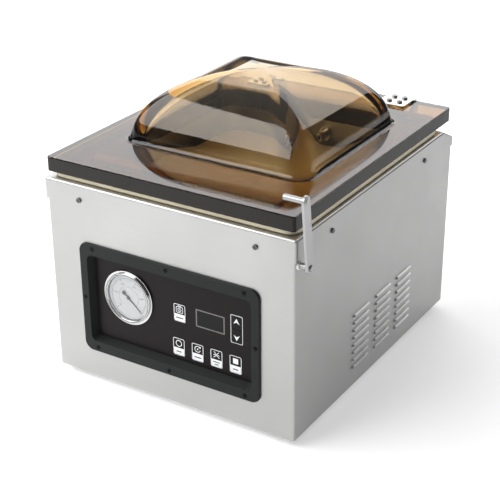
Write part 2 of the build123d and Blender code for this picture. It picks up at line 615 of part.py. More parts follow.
with BuildPart() as hinge_brackets:
    for side in (-1, 1):
        with BuildSketch(on_slope(side * HINGE_X)):
            with Locations((0, 17)):
                Rectangle(44, 28)
        extrude(amount=3)
        for ear in (-1, 1):
            with BuildSketch(flank(1, side * HINGE_X + ear * EAR_X)):
                with BuildLine():
                    Polyline((184, 259.5), (199.0, HINGE_Z - 0.4), (210.5, HINGE_Z), (203.6, 250.6), close=True)
                make_face()
                with Locations((HINGE_Y, HINGE_Z)):
                    Circle(EAR_R - 0.9)
            extrude(amount=EAR_T / 2, both=True)
    with BuildSketch(flank(1, 0)):
        with Locations((HINGE_Y, HINGE_Z)):
            Circle(PIN_R)
    extrude(amount=CASE_W / 2, both=True, mode=Mode.SUBTRACT)
    for side in (-1, 1):
        with BuildSketch(on_slope(side * HINGE_X)):
            with Locations((-10, 12), (10, 12)):
                Circle(2.0)
        extrude(amount=3, mode=Mode.SUBTRACT)
hinge_brackets.part.label = "hinge_brackets"
export_step(hinge_brackets.part, "parts/hinge_brackets.step")

with BuildPart() as bracket_screws:
    for side in (-1, 1):
        for x in (-10, 10):
            seat = on_slope(side * HINGE_X + x)
            pan_screw(Plane(origin=seat.from_local_coords((0, 12, 3)), x_dir=(1, 0, 0), z_dir=seat.z_dir),
                      3.4, 1.8, 2.0, 9)
bracket_screws.part.label = "bracket_screws"
export_step(bracket_screws.part, "parts/bracket_screws.step")

with BuildPart() as hinge_pins:
    for side in (-1, 1):
        with BuildSketch(flank(1, side * HINGE_X, HINGE_Y, HINGE_Z)):
            Circle(PIN_R)
        extrude(amount=EAR_X + 4.5, both=True)
        with BuildSketch(flank(1, side * HINGE_X + EAR_X + EAR_T / 2, HINGE_Y, HINGE_Z)):
            Circle(PIN_R + 1.4)
        extrude(amount=2)
hinge_pins.part.label = "hinge_pins"
export_step(hinge_pins.part, "parts/hinge_pins.step")

WIRE_R, COIL_R, COIL_PITCH, COIL_TURNS = 0.8, 4.9, 1.75, 2.5
with BuildPart() as lid_springs:
    for side in (-1, 1):
        for half in (-1, 1):
            start = (CASE_X + side * HINGE_X + half * 7.2, HINGE_Y, HINGE_Z)
            with BuildLine() as coil:
                Helix(COIL_PITCH, COIL_PITCH * COIL_TURNS, COIL_R, center=start, direction=(half, 0, 0))
            with BuildSketch(Plane(origin=coil.wire() @ 0, z_dir=coil.wire() % 0)):
                Circle(WIRE_R)
            sweep(path=coil.wire(), is_frenet=True)
lid_springs.part.label = "lid_springs"
export_step(lid_springs.part, "parts/lid_springs.step")

# ---------------------------------------------------------------- lid hook
BAR_IN, BAR_T, BAR_W, ARM_R, ARM_END_X = 182.1, 3.4, 13.4, 3.5, 157.0
HOOK_PIN_R, HOOK_SHAFT_R = 3.6, 3.0
lean = math.asin((HOOK_Y - HOOK_ARM_Y) / HOOK_REACH)
arm_z = HOOK_Z + HOOK_REACH * math.cos(lean)

with BuildPart() as lid_hook:
    bar_plane = flank(1, BAR_IN, (HOOK_Y + HOOK_ARM_Y) / 2, (HOOK_Z + arm_z) / 2)
    with BuildSketch(bar_plane):
        SlotCenterToCenter(HOOK_REACH, BAR_W, rotation=90 + math.degrees(lean))
    extrude(amount=BAR_T)
    fillet(lid_hook.faces().filter_by(Axis.X).sort_by(Axis.X)[-1].edges(), 1.0)
    with BuildSketch(flank(1, BAR_IN + BAR_T + 0.6, HOOK_ARM_Y, arm_z)):
        Circle(ARM_R)
    extrude(amount=-(BAR_IN + BAR_T + 0.6 - ARM_END_X))
    with BuildSketch(flank(1, BAR_IN + BAR_T + 1.8, HOOK_Y, HOOK_Z)):
        Circle(HOOK_PIN_R)
    extrude(amount=-(BAR_T + 1.8 + BAR_IN - CASE_W / 2 - 3.0))
    with BuildSketch(flank(1, CASE_W / 2 + 3.0, HOOK_Y, HOOK_Z)):
        Circle(HOOK_SHAFT_R)
    extrude(amount=-14)
    with BuildSketch(flank(1, CASE_W / 2 - 8, HOOK_Y, HOOK_Z)):
        Circle(HOOK_SHAFT_R + 1.4)
    extrude(amount=-3)
    hook_ends = lid_hook.edges().filter_by(GeomType.CIRCLE)
    fillet(hook_ends.filter_by(lambda edge: abs(edge.radius - ARM_R) < 0.01).sort_by(Axis.X)[0], 1.0)
lid_hook.part.label = "lid_hook"
export_step(lid_hook.part, "parts/lid_hook.step")

with BuildPart() as hook_bush:
    with BuildSketch(flank(1, CASE_W / 2 - 4.5, HOOK_Y, HOOK_Z)):
        Circle(4.4)
        Circle(HOOK_SHAFT_R + 0.06, mode=Mode.SUBTRACT)
    extrude(amount=7.2)
    with BuildSketch(flank(1, CASE_W / 2, HOOK_Y, HOOK_Z)):
        Circle(5.0)
        Circle(HOOK_SHAFT_R + 0.06, mode=Mode.SUBTRACT)
    extrude(amount=2.7)
hook_bush.part.label = "hook_bush"
export_step(hook_bush.part, "parts/hook_bush.step")

# ---------------------------------------------------------------- control panel
RECESS_W, RECESS_H, RECESS_DRAFT = 230.0, 117.0, 4.5
TRAY_T, BEZEL_PROUD = 2.5, 3.0
KEY_W, KEY_H, ARROW_W, ARROW_H = 16.4, 23.2, 14.6, 17.2
DISPLAY_X, DISPLAY_Z, WINDOW_W, WINDOW_H = 53.8, 128.6, 36.6, 20.0
KEYS = {
    "key_vacuum": (11.4, 128.2, KEY_W, KEY_H),
    "key_start": (8.9, 82.2, KEY_W, KEY_H),
    "key_cycle": (35.5, 82.2, KEY_W, KEY_H),
    "key_seal": (61.8, 82.2, KEY_W, KEY_H),
    "key_stop": (88.1, 82.2, KEY_W, KEY_H),
    "key_up": (89.9, 137.5, ARROW_W, ARROW_H),
    "key_down": (89.9, 119.8, ARROW_W, ARROW_H),
}
KEY_GAP = 0.15
bezel_spots = [(x, z) for x in (-106, 0, 106) for z in (-66.7, 66.7)] + [(-120.5, 0), (120.5, 0)]

with BuildPart() as panel_bezel:
    with BuildSketch(facing(FRONT_Y, PANEL_X, PANEL_Z)):
        RectangleRounded(PANEL_W, PANEL_H, 12)
    extrude(amount=BEZEL_PROUD)
    fillet(panel_bezel.faces().sort_by(Axis.Y)[0].edges(), 1.6)
    with BuildSketch(facing(FRONT_Y, PANEL_X, PANEL_Z)):
        RectangleRounded(PANEL_W - 13.4, PANEL_H - 16.4, 1)
    extrude(amount=-(TRAY_Y + TRAY_T - FRONT_Y))
    with BuildSketch(facing(FRONT_Y - BEZEL_PROUD, PANEL_X, PANEL_Z)):
        RectangleRounded(RECESS_W, RECESS_H, 8)
    with BuildSketch(facing(TRAY_Y, PANEL_X, PANEL_Z)):
        RectangleRounded(RECESS_W - 2 * RECESS_DRAFT, RECESS_H - 2 * RECESS_DRAFT, 5)
    loft(mode=Mode.SUBTRACT)
    with BuildSketch(facing(TRAY_Y)):
        with Locations((GAUGE_X, GAUGE_Z)):
            Circle(30.5)
        with Locations((DISPLAY_X, DISPLAY_Z)):
            Rectangle(WINDOW_W, WINDOW_H)
        for key_x, key_z, key_w, key_h in KEYS.values():
            with Locations((key_x, key_z)):
                Rectangle(key_w + 2 * KEY_GAP, key_h + 2 * KEY_GAP)
    extrude(amount=-TRAY_T, mode=Mode.SUBTRACT)
    with BuildSketch(facing(FRONT_Y - BEZEL_PROUD, PANEL_X, PANEL_Z)):
        with Locations(*bezel_spots):
            Circle(1.4)
    extrude(amount=-2 * BEZEL_PROUD - 6, mode=Mode.SUBTRACT)
    with BuildSketch(facing(FRONT_Y - BEZEL_PROUD, PANEL_X, PANEL_Z)):
        with Locations(*bezel_spots):
            Circle(3.0)
    extrude(amount=-1.2, mode=Mode.SUBTRACT)
panel_bezel.part.label = "panel_bezel"
export_step(panel_bezel.part, "parts/panel_bezel.step")

with BuildPart() as bezel_screws:
    for x, z in bezel_spots:
        pan_screw(facing(FRONT_Y - BEZEL_PROUD + 1.2, PANEL_X + x, PANEL_Z + z), 2.6, 1.4, 1.4, 7)
bezel_screws.part.label = "bezel_screws"
export_step(bezel_screws.part, "parts/bezel_screws.step")

with BuildPart() as panel_overlay:
    with BuildSketch(facing(TRAY_Y)):
        with Locations((PANEL_X, PANEL_Z)):
            RectangleRounded(RECESS_W - 2 * RECESS_DRAFT - 0.6, RECESS_H - 2 * RECESS_DRAFT - 0.6, 5)
        with Locations((GAUGE_X, GAUGE_Z)):
            Circle(30.5, mode=Mode.SUBTRACT)
        with Locations((DISPLAY_X, DISPLAY_Z)):
            Rectangle(WINDOW_W, WINDOW_H, mode=Mode.SUBTRACT)
        for key_x, key_z, key_w, key_h in KEYS.values():
            with Locations((key_x, key_z)):
                Rectangle(key_w + 2 * KEY_GAP, key_h + 2 * KEY_GAP, mode=Mode.SUBTRACT)
    extrude(amount=OVERLAY_T)
panel_overlay.part.label = "panel_overlay"
export_step(panel_overlay.part, "parts/panel_overlay.step")

BOARD_Y, BOARD_T = -186.0, 1.6
with BuildPart() as display_window:
    with BuildSketch(facing(TRAY_Y + 0.6, DISPLAY_X, DISPLAY_Z)):
        Rectangle(WINDOW_W, WINDOW_H)
    extrude(amount=OVERLAY_T + 0.6)
display_window.part.label = "display_window"
export_step(display_window.part, "parts/display_window.step")

with BuildPart() as display_module:
    with BuildSketch(facing(BOARD_Y, DISPLAY_X, DISPLAY_Z)):
        Rectangle(WINDOW_W - 2, WINDOW_H - 2)
    extrude(amount=TRAY_Y * -1 + BOARD_Y - 0.6)
display_module.part.label = "display_module"
export_step(display_module.part, "parts/display_module.step")

KEY_FRONT, KEY_BACK, STEM_END, SWITCH_FRONT = -195.0, -192.6, -190.7, -190.05
with BuildPart() as control_board:
    with BuildSketch(facing(BOARD_Y, 53, 106)):
        Rectangle(110, 92)
        with Locations((-50, 41), (50, 41), (-50, -41), (50, -41)):
            Circle(1.6, mode=Mode.SUBTRACT)
    extrude(amount=-BOARD_T)
    for key_x, key_z, key_w, key_h in KEYS.values():
        with BuildSketch(facing(BOARD_Y, key_x, key_z)):
            Rectangle(6, 6)
        extrude(amount=3.5)
        with BuildSketch(facing(BOARD_Y - 3.5, key_x, key_z)):
            Circle(1.7)
        extrude(amount=BOARD_Y - 3.5 - SWITCH_FRONT)
    with BuildSketch(facing(BOARD_Y + BOARD_T, 40, 110)):
        Rectangle(18, 18)
        with Locations((38, 20)):
            Rectangle(22, 12)
        with Locations((30, -30), (44, -30)):
            Circle(5)
    extrude(amount=-9)
control_board.part.label = "control_board"
export_step(control_board.part, "parts/control_board.step")

for key_name, (key_x, key_z, key_w, key_h) in KEYS.items():
    with BuildPart() as key:
        with BuildSketch(facing(KEY_BACK, key_x, key_z)):
            RectangleRounded(key_w, key_h, 1.8)
        extrude(amount=KEY_BACK - KEY_FRONT)
        with BuildSketch(facing(KEY_BACK, key_x, key_z)):
            Circle(2.5)
        extrude(amount=KEY_BACK - STEM_END)
    key.part.label = key_name
    export_step(key.part, f"parts/{key_name}.step")

# ---------------------------------------------------------------- vacuum gauge
RING_FRONT, FLANGE_FRONT, CAN_R, CAN_BACK = -199.6, -197.0, 30.0, -166.0
with BuildPart() as gauge_ring:
    with BuildSketch(facing(TRAY_Y - OVERLAY_T, GAUGE_X, GAUGE_Z)):
        Circle(GAUGE_R)
        Circle(29.4, mode=Mode.SUBTRACT)
    extrude(amount=TRAY_Y - OVERLAY_T - FLANGE_FRONT)
    with BuildSketch(facing(FLANGE_FRONT, GAUGE_X, GAUGE_Z)):
        Circle(32.6)
        Circle(29.4, mode=Mode.SUBTRACT)
    extrude(amount=FLANGE_FRONT - RING_FRONT)
    fillet(gauge_ring.faces().sort_by(Axis.Y)[0].edges(), 1.1)
gauge_ring.part.label = "gauge_ring"
export_step(gauge_ring.part, "parts/gauge_ring.step")

with BuildPart() as gauge_case:
    with BuildSketch(facing(TRAY_Y - OVERLAY_T, GAUGE_X, GAUGE_Z)):
        Circle(CAN_R)
    extrude(amount=TRAY_Y - OVERLAY_T - CAN_BACK)
    with BuildSketch(facing(TRAY_Y - OVERLAY_T, GAUGE_X, GAUGE_Z)):
        Circle(CAN_R - 1.2)
    extrude(amount=TRAY_Y - OVERLAY_T - CAN_BACK + 1.2, mode=Mode.SUBTRACT)
    with BuildSketch(facing(CAN_BACK, GAUGE_X, GAUGE_Z)):
        RegularPolygon(8, 6)
    extrude(amount=-8)
    with BuildSketch(facing(CAN_BACK + 8, GAUGE_X, GAUGE_Z)):
        Circle(5)
    extrude(amount=-12)
gauge_case.part.label = "gauge_case"
export_step(gauge_case.part, "parts/gauge_case.step")

DIAL_FRONT = -195.2
with BuildPart() as gauge_dial:
    with BuildSketch(facing(DIAL_FRONT + 0.8, GAUGE_X, GAUGE_Z)):
        Circle(28.7)
        Circle(1.3, mode=Mode.SUBTRACT)
    extrude(amount=0.8)
    with BuildSketch(facing(DIAL_FRONT + 0.8, GAUGE_X, GAUGE_Z)):
        Circle(14)
        Circle(1.3, mode=Mode.SUBTRACT)
    extrude(amount=-(CAN_BACK - 1.2 - DIAL_FRONT - 0.8))
gauge_dial.part.label = "gauge_dial"
export_step(gauge_dial.part, "parts/gauge_dial.step")

with BuildPart() as gauge_lens:
    with BuildSketch(facing(FLANGE_FRONT - 0.4, GAUGE_X, GAUGE_Z)):
        Circle(29.4)
    extrude(amount=1.2)
gauge_lens.part.label = "gauge_lens"
export_step(gauge_lens.part, "parts/gauge_lens.step")

NEEDLE_TURN = -40.7
with BuildPart() as gauge_needle:
    with BuildSketch(facing(DIAL_FRONT - 0.5, GAUGE_X, GAUGE_Z)):
        Circle(2.2)
    extrude(amount=1.0)
    with BuildSketch(turned(facing(DIAL_FRONT - 0.6, GAUGE_X, GAUGE_Z), NEEDLE_TURN)):
        with BuildLine():
            Polyline((-7, -0.9), (22.5, -0.35), (22.5, 0.35), (-7, 0.9), close=True)
        make_face()
        with Locations((-8.2, 0)):
            Circle(2.6)
    extrude(amount=0.5)
    with BuildSketch(facing(DIAL_FRONT - 0.5, GAUGE_X, GAUGE_Z)):
        Circle(1.0)
    extrude(amount=-12)
gauge_needle.part.label = "gauge_needle"
export_step(gauge_needle.part, "parts/gauge_needle.step")

# ---------------------------------------------------------------- rear fittings
with BuildPart() as power_inlet:
    with BuildSketch(facing(REAR_Y, INLET_X, INLET_Z)):
        SlotOverall(50, 24)
        with GridLocations(40, 0, 2, 1):
            Circle(1.7, mode=Mode.SUBTRACT)
    extrude(amount=-3)
    with BuildSketch(facing(REAR_Y, INLET_X, INLET_Z)):
        RectangleRounded(27, 19.8, 2)
    extrude(amount=24)
    with BuildSketch(facing(REAR_Y + 3, INLET_X, INLET_Z)):
        with BuildLine():
            Polyline((-12, -8), (12, -8), (12, 4), (8, 8), (-8, 8), (-12, 4), close=True)
        make_face()
    extrude(amount=20, mode=Mode.SUBTRACT)
    with BuildSketch(facing(REAR_Y - 17, INLET_X, INLET_Z)):
        with Locations((-7, -1.5), (7, -1.5), (0, 3)):
            Rectangle(2, 4)
    extrude(amount=-14)
    with BuildSketch(facing(REAR_Y - 24, INLET_X, INLET_Z)):
        with Locations((-7, -1.5), (7, -1.5), (0, 3)):
            Rectangle(6.3, 0.8)
    extrude(amount=8)
power_inlet.part.label = "power_inlet"
export_step(power_inlet.part, "parts/power_inlet.step")

with BuildPart() as power_switch:
    with BuildSketch(facing(REAR_Y, SWITCH_X, SWITCH_Z)):
        RectangleRounded(15, 21, 1.2)
    extrude(amount=-2)
    with BuildSketch(facing(REAR_Y, SWITCH_X, SWITCH_Z)):
        Rectangle(13, 19.2)
    extrude(amount=14)
    with BuildSketch(facing(REAR_Y + 2, SWITCH_X, SWITCH_Z)):
        Rectangle(10.6, 16.6)
    extrude(amount=12, mode=Mode.SUBTRACT)
    with BuildSketch(facing(REAR_Y - 14, SWITCH_X, SWITCH_Z)):
        with GridLocations(0, 8, 1, 2):
            Rectangle(4.8, 0.8)
    extrude(amount=8)
power_switch.part.label = "power_switch"
export_step(power_switch.part, "parts/power_switch.step")

ROCKER_Y, ROCKER_TILT = REAR_Y - 3.0, 7.0
with BuildPart() as switch_rocker:
    with BuildSketch(turned(flank(1, SWITCH_X, ROCKER_Y, SWITCH_Z), ROCKER_TILT)):
        with BuildLine():
            Polyline((-2.6, -3.5), (3.4, -7.4), (7.2, -7.4), (5.9, 0), (7.2, 7.4), (3.4, 7.4), (-2.6, 3.5),
                     close=True)
        make_face()
    extrude(amount=5.1, both=True)
switch_rocker.part.label = "switch_rocker"
export_step(switch_rocker.part, "parts/switch_rocker.step")

FAN_FRONT, FAN_T, FAN_BORE = REAR_Y - SHEET - 25.0, 25.0, 38.0
with BuildPart() as fan_frame:
    with BuildSketch(facing(FAN_FRONT + FAN_T, FAN_X, FAN_Z)):
        RectangleRounded(FAN_SIDE, FAN_SIDE, 4)
        Circle(FAN_BORE, mode=Mode.SUBTRACT)
        with GridLocations(2 * FAN_SCREW, 2 * FAN_SCREW, 2, 2):
            Circle(2.0, mode=Mode.SUBTRACT)
    extrude(amount=FAN_T)
    with BuildSketch(facing(FAN_FRONT + 3, FAN_X, FAN_Z)):
        Circle(17)
        for spoke in range(4):
            with Locations(Rotation(0, 0, 90 * spoke + 30)):
                with Locations((27, 0)):
                    Rectangle(24, 3)
    extrude(amount=3)
    with BuildSketch(facing(FAN_FRONT + 3, FAN_X, FAN_Z)):
        Circle(2.0)
    extrude(amount=-10)
fan_frame.part.label = "fan_frame"
export_step(fan_frame.part, "parts/fan_frame.step")

BLADES, HUB_R, BLADE_L = 7, 17.0, 19.5
with BuildPart() as fan_rotor:
    with BuildSketch(facing(FAN_FRONT + 22, FAN_X, FAN_Z)):
        Circle(HUB_R)
    extrude(amount=18.4)
    with BuildSketch(facing(FAN_FRONT + 3.6, FAN_X, FAN_Z)):
        Circle(HUB_R - 2)
    extrude(amount=-16, mode=Mode.SUBTRACT)
    with BuildSketch(facing(FAN_FRONT + 22, FAN_X, FAN_Z)):
        Circle(4.5)
    extrude(amount=14)
    with BuildSketch(facing(FAN_FRONT + 22, FAN_X, FAN_Z)):
        Circle(2.1)
    extrude(amount=18.4, mode=Mode.SUBTRACT)
    for blade in range(BLADES):
        turn = 2 * math.pi * blade / BLADES
        outward = (math.cos(turn), 0, math.sin(turn))
        root = (CASE_X + FAN_X + (HUB_R - 1) * outward[0], FAN_FRONT + 12.6, FAN_Z + (HUB_R - 1) * outward[2])
        with BuildSketch(Plane(origin=root, x_dir=(-outward[2], 0, outward[0]), z_dir=outward)):
            Rectangle(19, 1.6, rotation=38)
        extrude(amount=BLADE_L)
fan_rotor.part.label = "fan_rotor"
export_step(fan_rotor.part, "parts/fan_rotor.step")

# ---------------------------------------------------------------- machinery under the chamber
PUMP_Y, PUMP_Z = 70.0, 78.0
PUMP_X0, PUMP_X1, MOTOR_X1 = -112.0, -32.0, 112.0
PUMP_R, MOTOR_R, ROTOR_R, SHAFT_R = 46.0, 50.0, 25.0, 7.0
PUMP_BASE_Z = FOOT_H + SHEET + 12.0
FLOOR_Z = FOOT_H + SHEET

with BuildPart() as vacuum_pump:
    with BuildSketch(flank(1, PUMP_X0, PUMP_Y, PUMP_Z)):
        Circle(PUMP_R)
        with Locations((0, -(PUMP_Z - PUMP_BASE_Z) / 2)):
            Rectangle(70, PUMP_Z - PUMP_BASE_Z)
    extrude(amount=PUMP_X1 - PUMP_X0)
    with BuildSketch(flank(1, PUMP_X0 + 8, PUMP_Y, PUMP_Z + 7)):
        Circle(ROTOR_R + 7.5)
    extrude(amount=PUMP_X1 - PUMP_X0 - 16, mode=Mode.SUBTRACT)
    with BuildSketch(flank(1, PUMP_X1, PUMP_Y, PUMP_Z)):
        Circle(SHAFT_R + 0.06)
    extrude(amount=-(PUMP_X1 - PUMP_X0 - 4), mode=Mode.SUBTRACT)
    with BuildSketch(level(PUMP_Z + 44, PUMP_Y)):
        with Locations((-70, 0)):
            Circle(9)
    extrude(amount=10)
    with BuildSketch(level(PUMP_Z + 54, PUMP_Y)):
        with Locations((-70, 0)):
            Circle(4)
    extrude(amount=-22, mode=Mode.SUBTRACT)
    for fin in range(6):
        with BuildSketch(flank(1, PUMP_X0 + 6 + 12 * fin, PUMP_Y, PUMP_Z)):
            Circle(PUMP_R + 4)
            Circle(PUMP_R - 1, mode=Mode.SUBTRACT)
            with Locations((0, -PUMP_R)):
                Rectangle(2 * PUMP_R + 10, 60, mode=Mode.SUBTRACT)
        extrude(amount=3)
vacuum_pump.part.label = "vacuum_pump"
export_step(vacuum_pump.part, "parts/vacuum_pump.step")

with BuildPart() as pump_motor:
    with BuildSketch(flank(1, PUMP_X1, PUMP_Y, PUMP_Z)):
        Circle(MOTOR_R)
    extrude(amount=MOTOR_X1 - PUMP_X1)
    fillet(pump_motor.faces().sort_by(Axis.X)[-1].edges(), 8)
    with BuildSketch(level(PUMP_BASE_Z)):
        with Locations(((PUMP_X1 + MOTOR_X1) / 2 + 4, PUMP_Y)):
            Rectangle(110, 84)
    extrude(amount=4)
    with BuildSketch(flank(1, PUMP_X1 + 20, PUMP_Y, PUMP_Z)):
        with Locations((0, -(PUMP_Z - PUMP_BASE_Z) / 2)):
            Rectangle(60, PUMP_Z - PUMP_BASE_Z)
    extrude(amount=100)
    for rib in range(9):
        with BuildSketch(flank(1, PUMP_X1 + 16 + 12 * rib, PUMP_Y, PUMP_Z)):
            Circle(MOTOR_R + 2.5)
            Circle(MOTOR_R - 1, mode=Mode.SUBTRACT)
            with Locations((0, -MOTOR_R)):
                Rectangle(2 * MOTOR_R + 10, 70, mode=Mode.SUBTRACT)
        extrude(amount=3)
    with BuildSketch(flank(1, PUMP_X1, PUMP_Y, PUMP_Z)):
        Circle(SHAFT_R + 0.06)
    extrude(amount=26, mode=Mode.SUBTRACT)
pump_motor.part.label = "pump_motor"
export_step(pump_motor.part, "parts/pump_motor.step")

with BuildPart() as pump_rotor:
    with BuildSketch(flank(1, PUMP_X0 + 5, PUMP_Y, PUMP_Z)):
        Circle(SHAFT_R)
    extrude(amount=PUMP_X1 - PUMP_X0 + 20)
    with BuildSketch(flank(1, PUMP_X0 + 8.3, PUMP_Y, PUMP_Z)):
        Circle(ROTOR_R)
        with PolarLocations(ROTOR_R - 6, 3):
            Rectangle(16, 3, mode=Mode.SUBTRACT)
    extrude(amount=PUMP_X1 - PUMP_X0 - 16.6)
pump_rotor.part.label = "pump_rotor"
export_step(pump_rotor.part, "parts/pump_rotor.step")

with BuildPart() as pump_mounts:
    with BuildSketch(level(FLOOR_Z)):
        with Locations((0, PUMP_Y)):
            with GridLocations(2 * 88, 60, 2, 2):
                Circle(9)
    extrude(amount=PUMP_BASE_Z - FLOOR_Z)
pump_mounts.part.label = "pump_mounts"
export_step(pump_mounts.part, "parts/pump_mounts.step")

with BuildPart() as exhaust_filter:
    with BuildSketch(level(FLOOR_Z)):
        with Locations((-120, -40)):
            Circle(28)
    extrude(amount=110)
    fillet(exhaust_filter.faces().sort_by(Axis.Z)[-1].edges(), 8)
    with BuildSketch(level(FLOOR_Z + 110)):
        with Locations((-120, -40)):
            RegularPolygon(10, 6)
    extrude(amount=10)
    with BuildSketch(level(FLOOR_Z)):
        with Locations((-120, -40)):
            Rectangle(64, 30)
    extrude(amount=4)
exhaust_filter.part.label = "exhaust_filter"
export_step(exhaust_filter.part, "parts/exhaust_filter.step")

with BuildPart() as seal_transformer:
    with BuildSketch(level(FLOOR_Z)):
        with Locations((112, -90)):
            Rectangle(80, 40)
            with GridLocations(70, 0, 2, 1):
                Circle(2, mode=Mode.SUBTRACT)
    extrude(amount=3)
    with BuildSketch(level(FLOOR_Z + 3)):
        with Locations((112, -90)):
            Rectangle(58, 34)
    extrude(amount=62)
    with BuildSketch(level(FLOOR_Z + 15)):
        with Locations((112, -90)):
            RectangleRounded(34, 60, 8)
    extrude(amount=38)
seal_transformer.part.label = "seal_transformer"
export_step(seal_transformer.part, "parts/seal_transformer.step")

with BuildPart() as solenoid_valves:
    for x in (-70, -26):
        with BuildSketch(level(FLOOR_Z)):
            with Locations((x, -110)):
                Rectangle(30, 30)
        extrude(amount=22)
        with BuildSketch(level(FLOOR_Z + 22)):
            with Locations((x, -110)):
                Circle(11)
        extrude(amount=34)
        with BuildSketch(facing(-110, x, FLOOR_Z + 11)):
            Circle(5)
        extrude(amount=25, both=True)
solenoid_valves.part.label = "solenoid_valves"
export_step(solenoid_valves.part, "parts/solenoid_valves.step")

HOSE_R, HOSE_BORE = 8.5, 6.0
hose_y = TUB_Y + TUB_D / 2 + SHEET + 4.0
with BuildPart() as vacuum_hose:
    with BuildLine() as hose_path:
        FilletPolyline(
            (CASE_X + NOZZLE_X, hose_y, NOZZLE_Z), (CASE_X + NOZZLE_X, 182, NOZZLE_Z),
            (CASE_X + NOZZLE_X, 182, 158), (CASE_X - 70, 182, 158), (CASE_X - 70, PUMP_Y, 158),
            (CASE_X - 70, PUMP_Y, PUMP_Z + 54), radius=14,
        )
    with BuildSketch(Plane(origin=hose_path.wire() @ 0, z_dir=hose_path.wire() % 0)):
        Circle(HOSE_R)
        Circle(HOSE_BORE, mode=Mode.SUBTRACT)
    sweep(path=hose_path.wire())
vacuum_hose.part.label = "vacuum_hose"
export_step(vacuum_hose.part, "parts/vacuum_hose.step")
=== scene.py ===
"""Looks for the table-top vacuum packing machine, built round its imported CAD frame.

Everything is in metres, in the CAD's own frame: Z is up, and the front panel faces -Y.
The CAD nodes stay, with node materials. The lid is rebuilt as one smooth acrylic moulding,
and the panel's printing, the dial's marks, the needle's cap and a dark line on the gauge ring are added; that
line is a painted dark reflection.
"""
import math

import bmesh
import bpy
from mathutils import Euler, Matrix, Vector


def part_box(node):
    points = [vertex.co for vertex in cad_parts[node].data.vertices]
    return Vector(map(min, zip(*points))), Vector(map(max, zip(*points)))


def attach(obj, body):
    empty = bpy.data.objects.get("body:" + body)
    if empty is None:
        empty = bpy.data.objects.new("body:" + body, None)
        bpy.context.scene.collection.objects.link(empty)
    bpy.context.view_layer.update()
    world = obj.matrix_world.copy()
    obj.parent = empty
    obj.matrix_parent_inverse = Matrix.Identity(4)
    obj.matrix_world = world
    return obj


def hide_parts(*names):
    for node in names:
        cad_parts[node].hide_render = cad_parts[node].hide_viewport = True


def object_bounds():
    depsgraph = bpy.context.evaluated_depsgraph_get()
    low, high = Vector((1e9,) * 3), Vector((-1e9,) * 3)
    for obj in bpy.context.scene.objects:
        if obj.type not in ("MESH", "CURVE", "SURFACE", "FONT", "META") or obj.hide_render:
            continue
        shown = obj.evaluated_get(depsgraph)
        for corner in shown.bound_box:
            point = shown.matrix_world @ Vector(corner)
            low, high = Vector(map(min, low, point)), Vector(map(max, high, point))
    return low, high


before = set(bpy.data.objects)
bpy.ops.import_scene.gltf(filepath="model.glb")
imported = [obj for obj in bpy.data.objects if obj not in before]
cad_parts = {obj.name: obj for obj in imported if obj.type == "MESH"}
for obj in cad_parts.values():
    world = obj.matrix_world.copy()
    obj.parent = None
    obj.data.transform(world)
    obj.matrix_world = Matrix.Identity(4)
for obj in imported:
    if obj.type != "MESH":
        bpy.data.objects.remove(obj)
cad_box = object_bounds()

MM = 0.001

# Looks
NOISE_MIDDLE = (0.3, 0.7)       # where most of a noise's values lie
SIDEWAYS = 0.7                  # a normal's share along X, above which a face counts as a side
LOOK_OF = {"lid_hook": "hook_steel",            # nodes whose finish differs from their slot's usual look
           "leaf_screws": "hook_steel"}

# Meshes
MERGE = 0.001 * MM              # vertices closer than this are one
SHARP = math.radians(35.0)      # an edge that turns more than this isn't smoothed

# The lid: a thick plate with a dome blown out of it
PLATE_CORNER = 4.0 * MM
GASKET_AIR = 0.15 * MM          # so the plate and what is fixed under it aren't in one plane
# The plate's rim, in mm: how far in each ring lies, and how far from the underside or from the top.
# Each flat has a ring near its end, which keeps it flat to the eye.
RIM_LOW = ((1.4, 0.0), (0.9, 0.0), (0.25, 0.25), (0.0, 0.9), (0.0, 1.4))
RIM_HIGH = ((0.0, 1.6), (0.0, 1.1), (0.3, 0.3), (1.1, 0.0), (1.6, 0.0))
DARK_RIM_ABOVE, DARK_RIM_BELOW = 0.8 * MM, 1.0 * MM     # where the rim's painted dark band starts, above the underside and below the top
DOME_WALL = 5.0 * MM
DOME_POWER = 2.05               # of the dome's upright profile
DOME_CORNERS = (0.17, 0.13)     # corner radius as a share of the half depth, at foot and top
DOME_INNER_CORNERS = (0.30, 0.34)   # rounder, so the wall is thickest along the ridges
DOME_CORNER_POWER = 1.5         # how late the corners turn from the foot's share to the top's
DOME_RINGS = 30
DOME_FLARE = 7.0 * MM           # concave radius where the dome leaves the plate
FLARE_RINGS = 8
FLARE_AHEAD = 0.8 * MM          # from the flare's end to the ring that keeps the plate flat

# The panel's printing
INK = 0.06 * MM
KEY_LINE = 0.75 * MM            # of the keys' outlines and the arrow keys' frame
KEY_MARGIN = 0.15 * MM
KEY_CORNER = 1.9 * MM
KEY_BLOCK = 0.43                # share of a key's height that its white block fills
BLOCK_MARGIN = 0.2 * MM
BLOCK_CORNER = 1.4 * MM
STROKE, THIN_STROKE, FINE_STROKE = 0.9 * MM, 0.8 * MM, 0.7 * MM    # of the keys' drawings
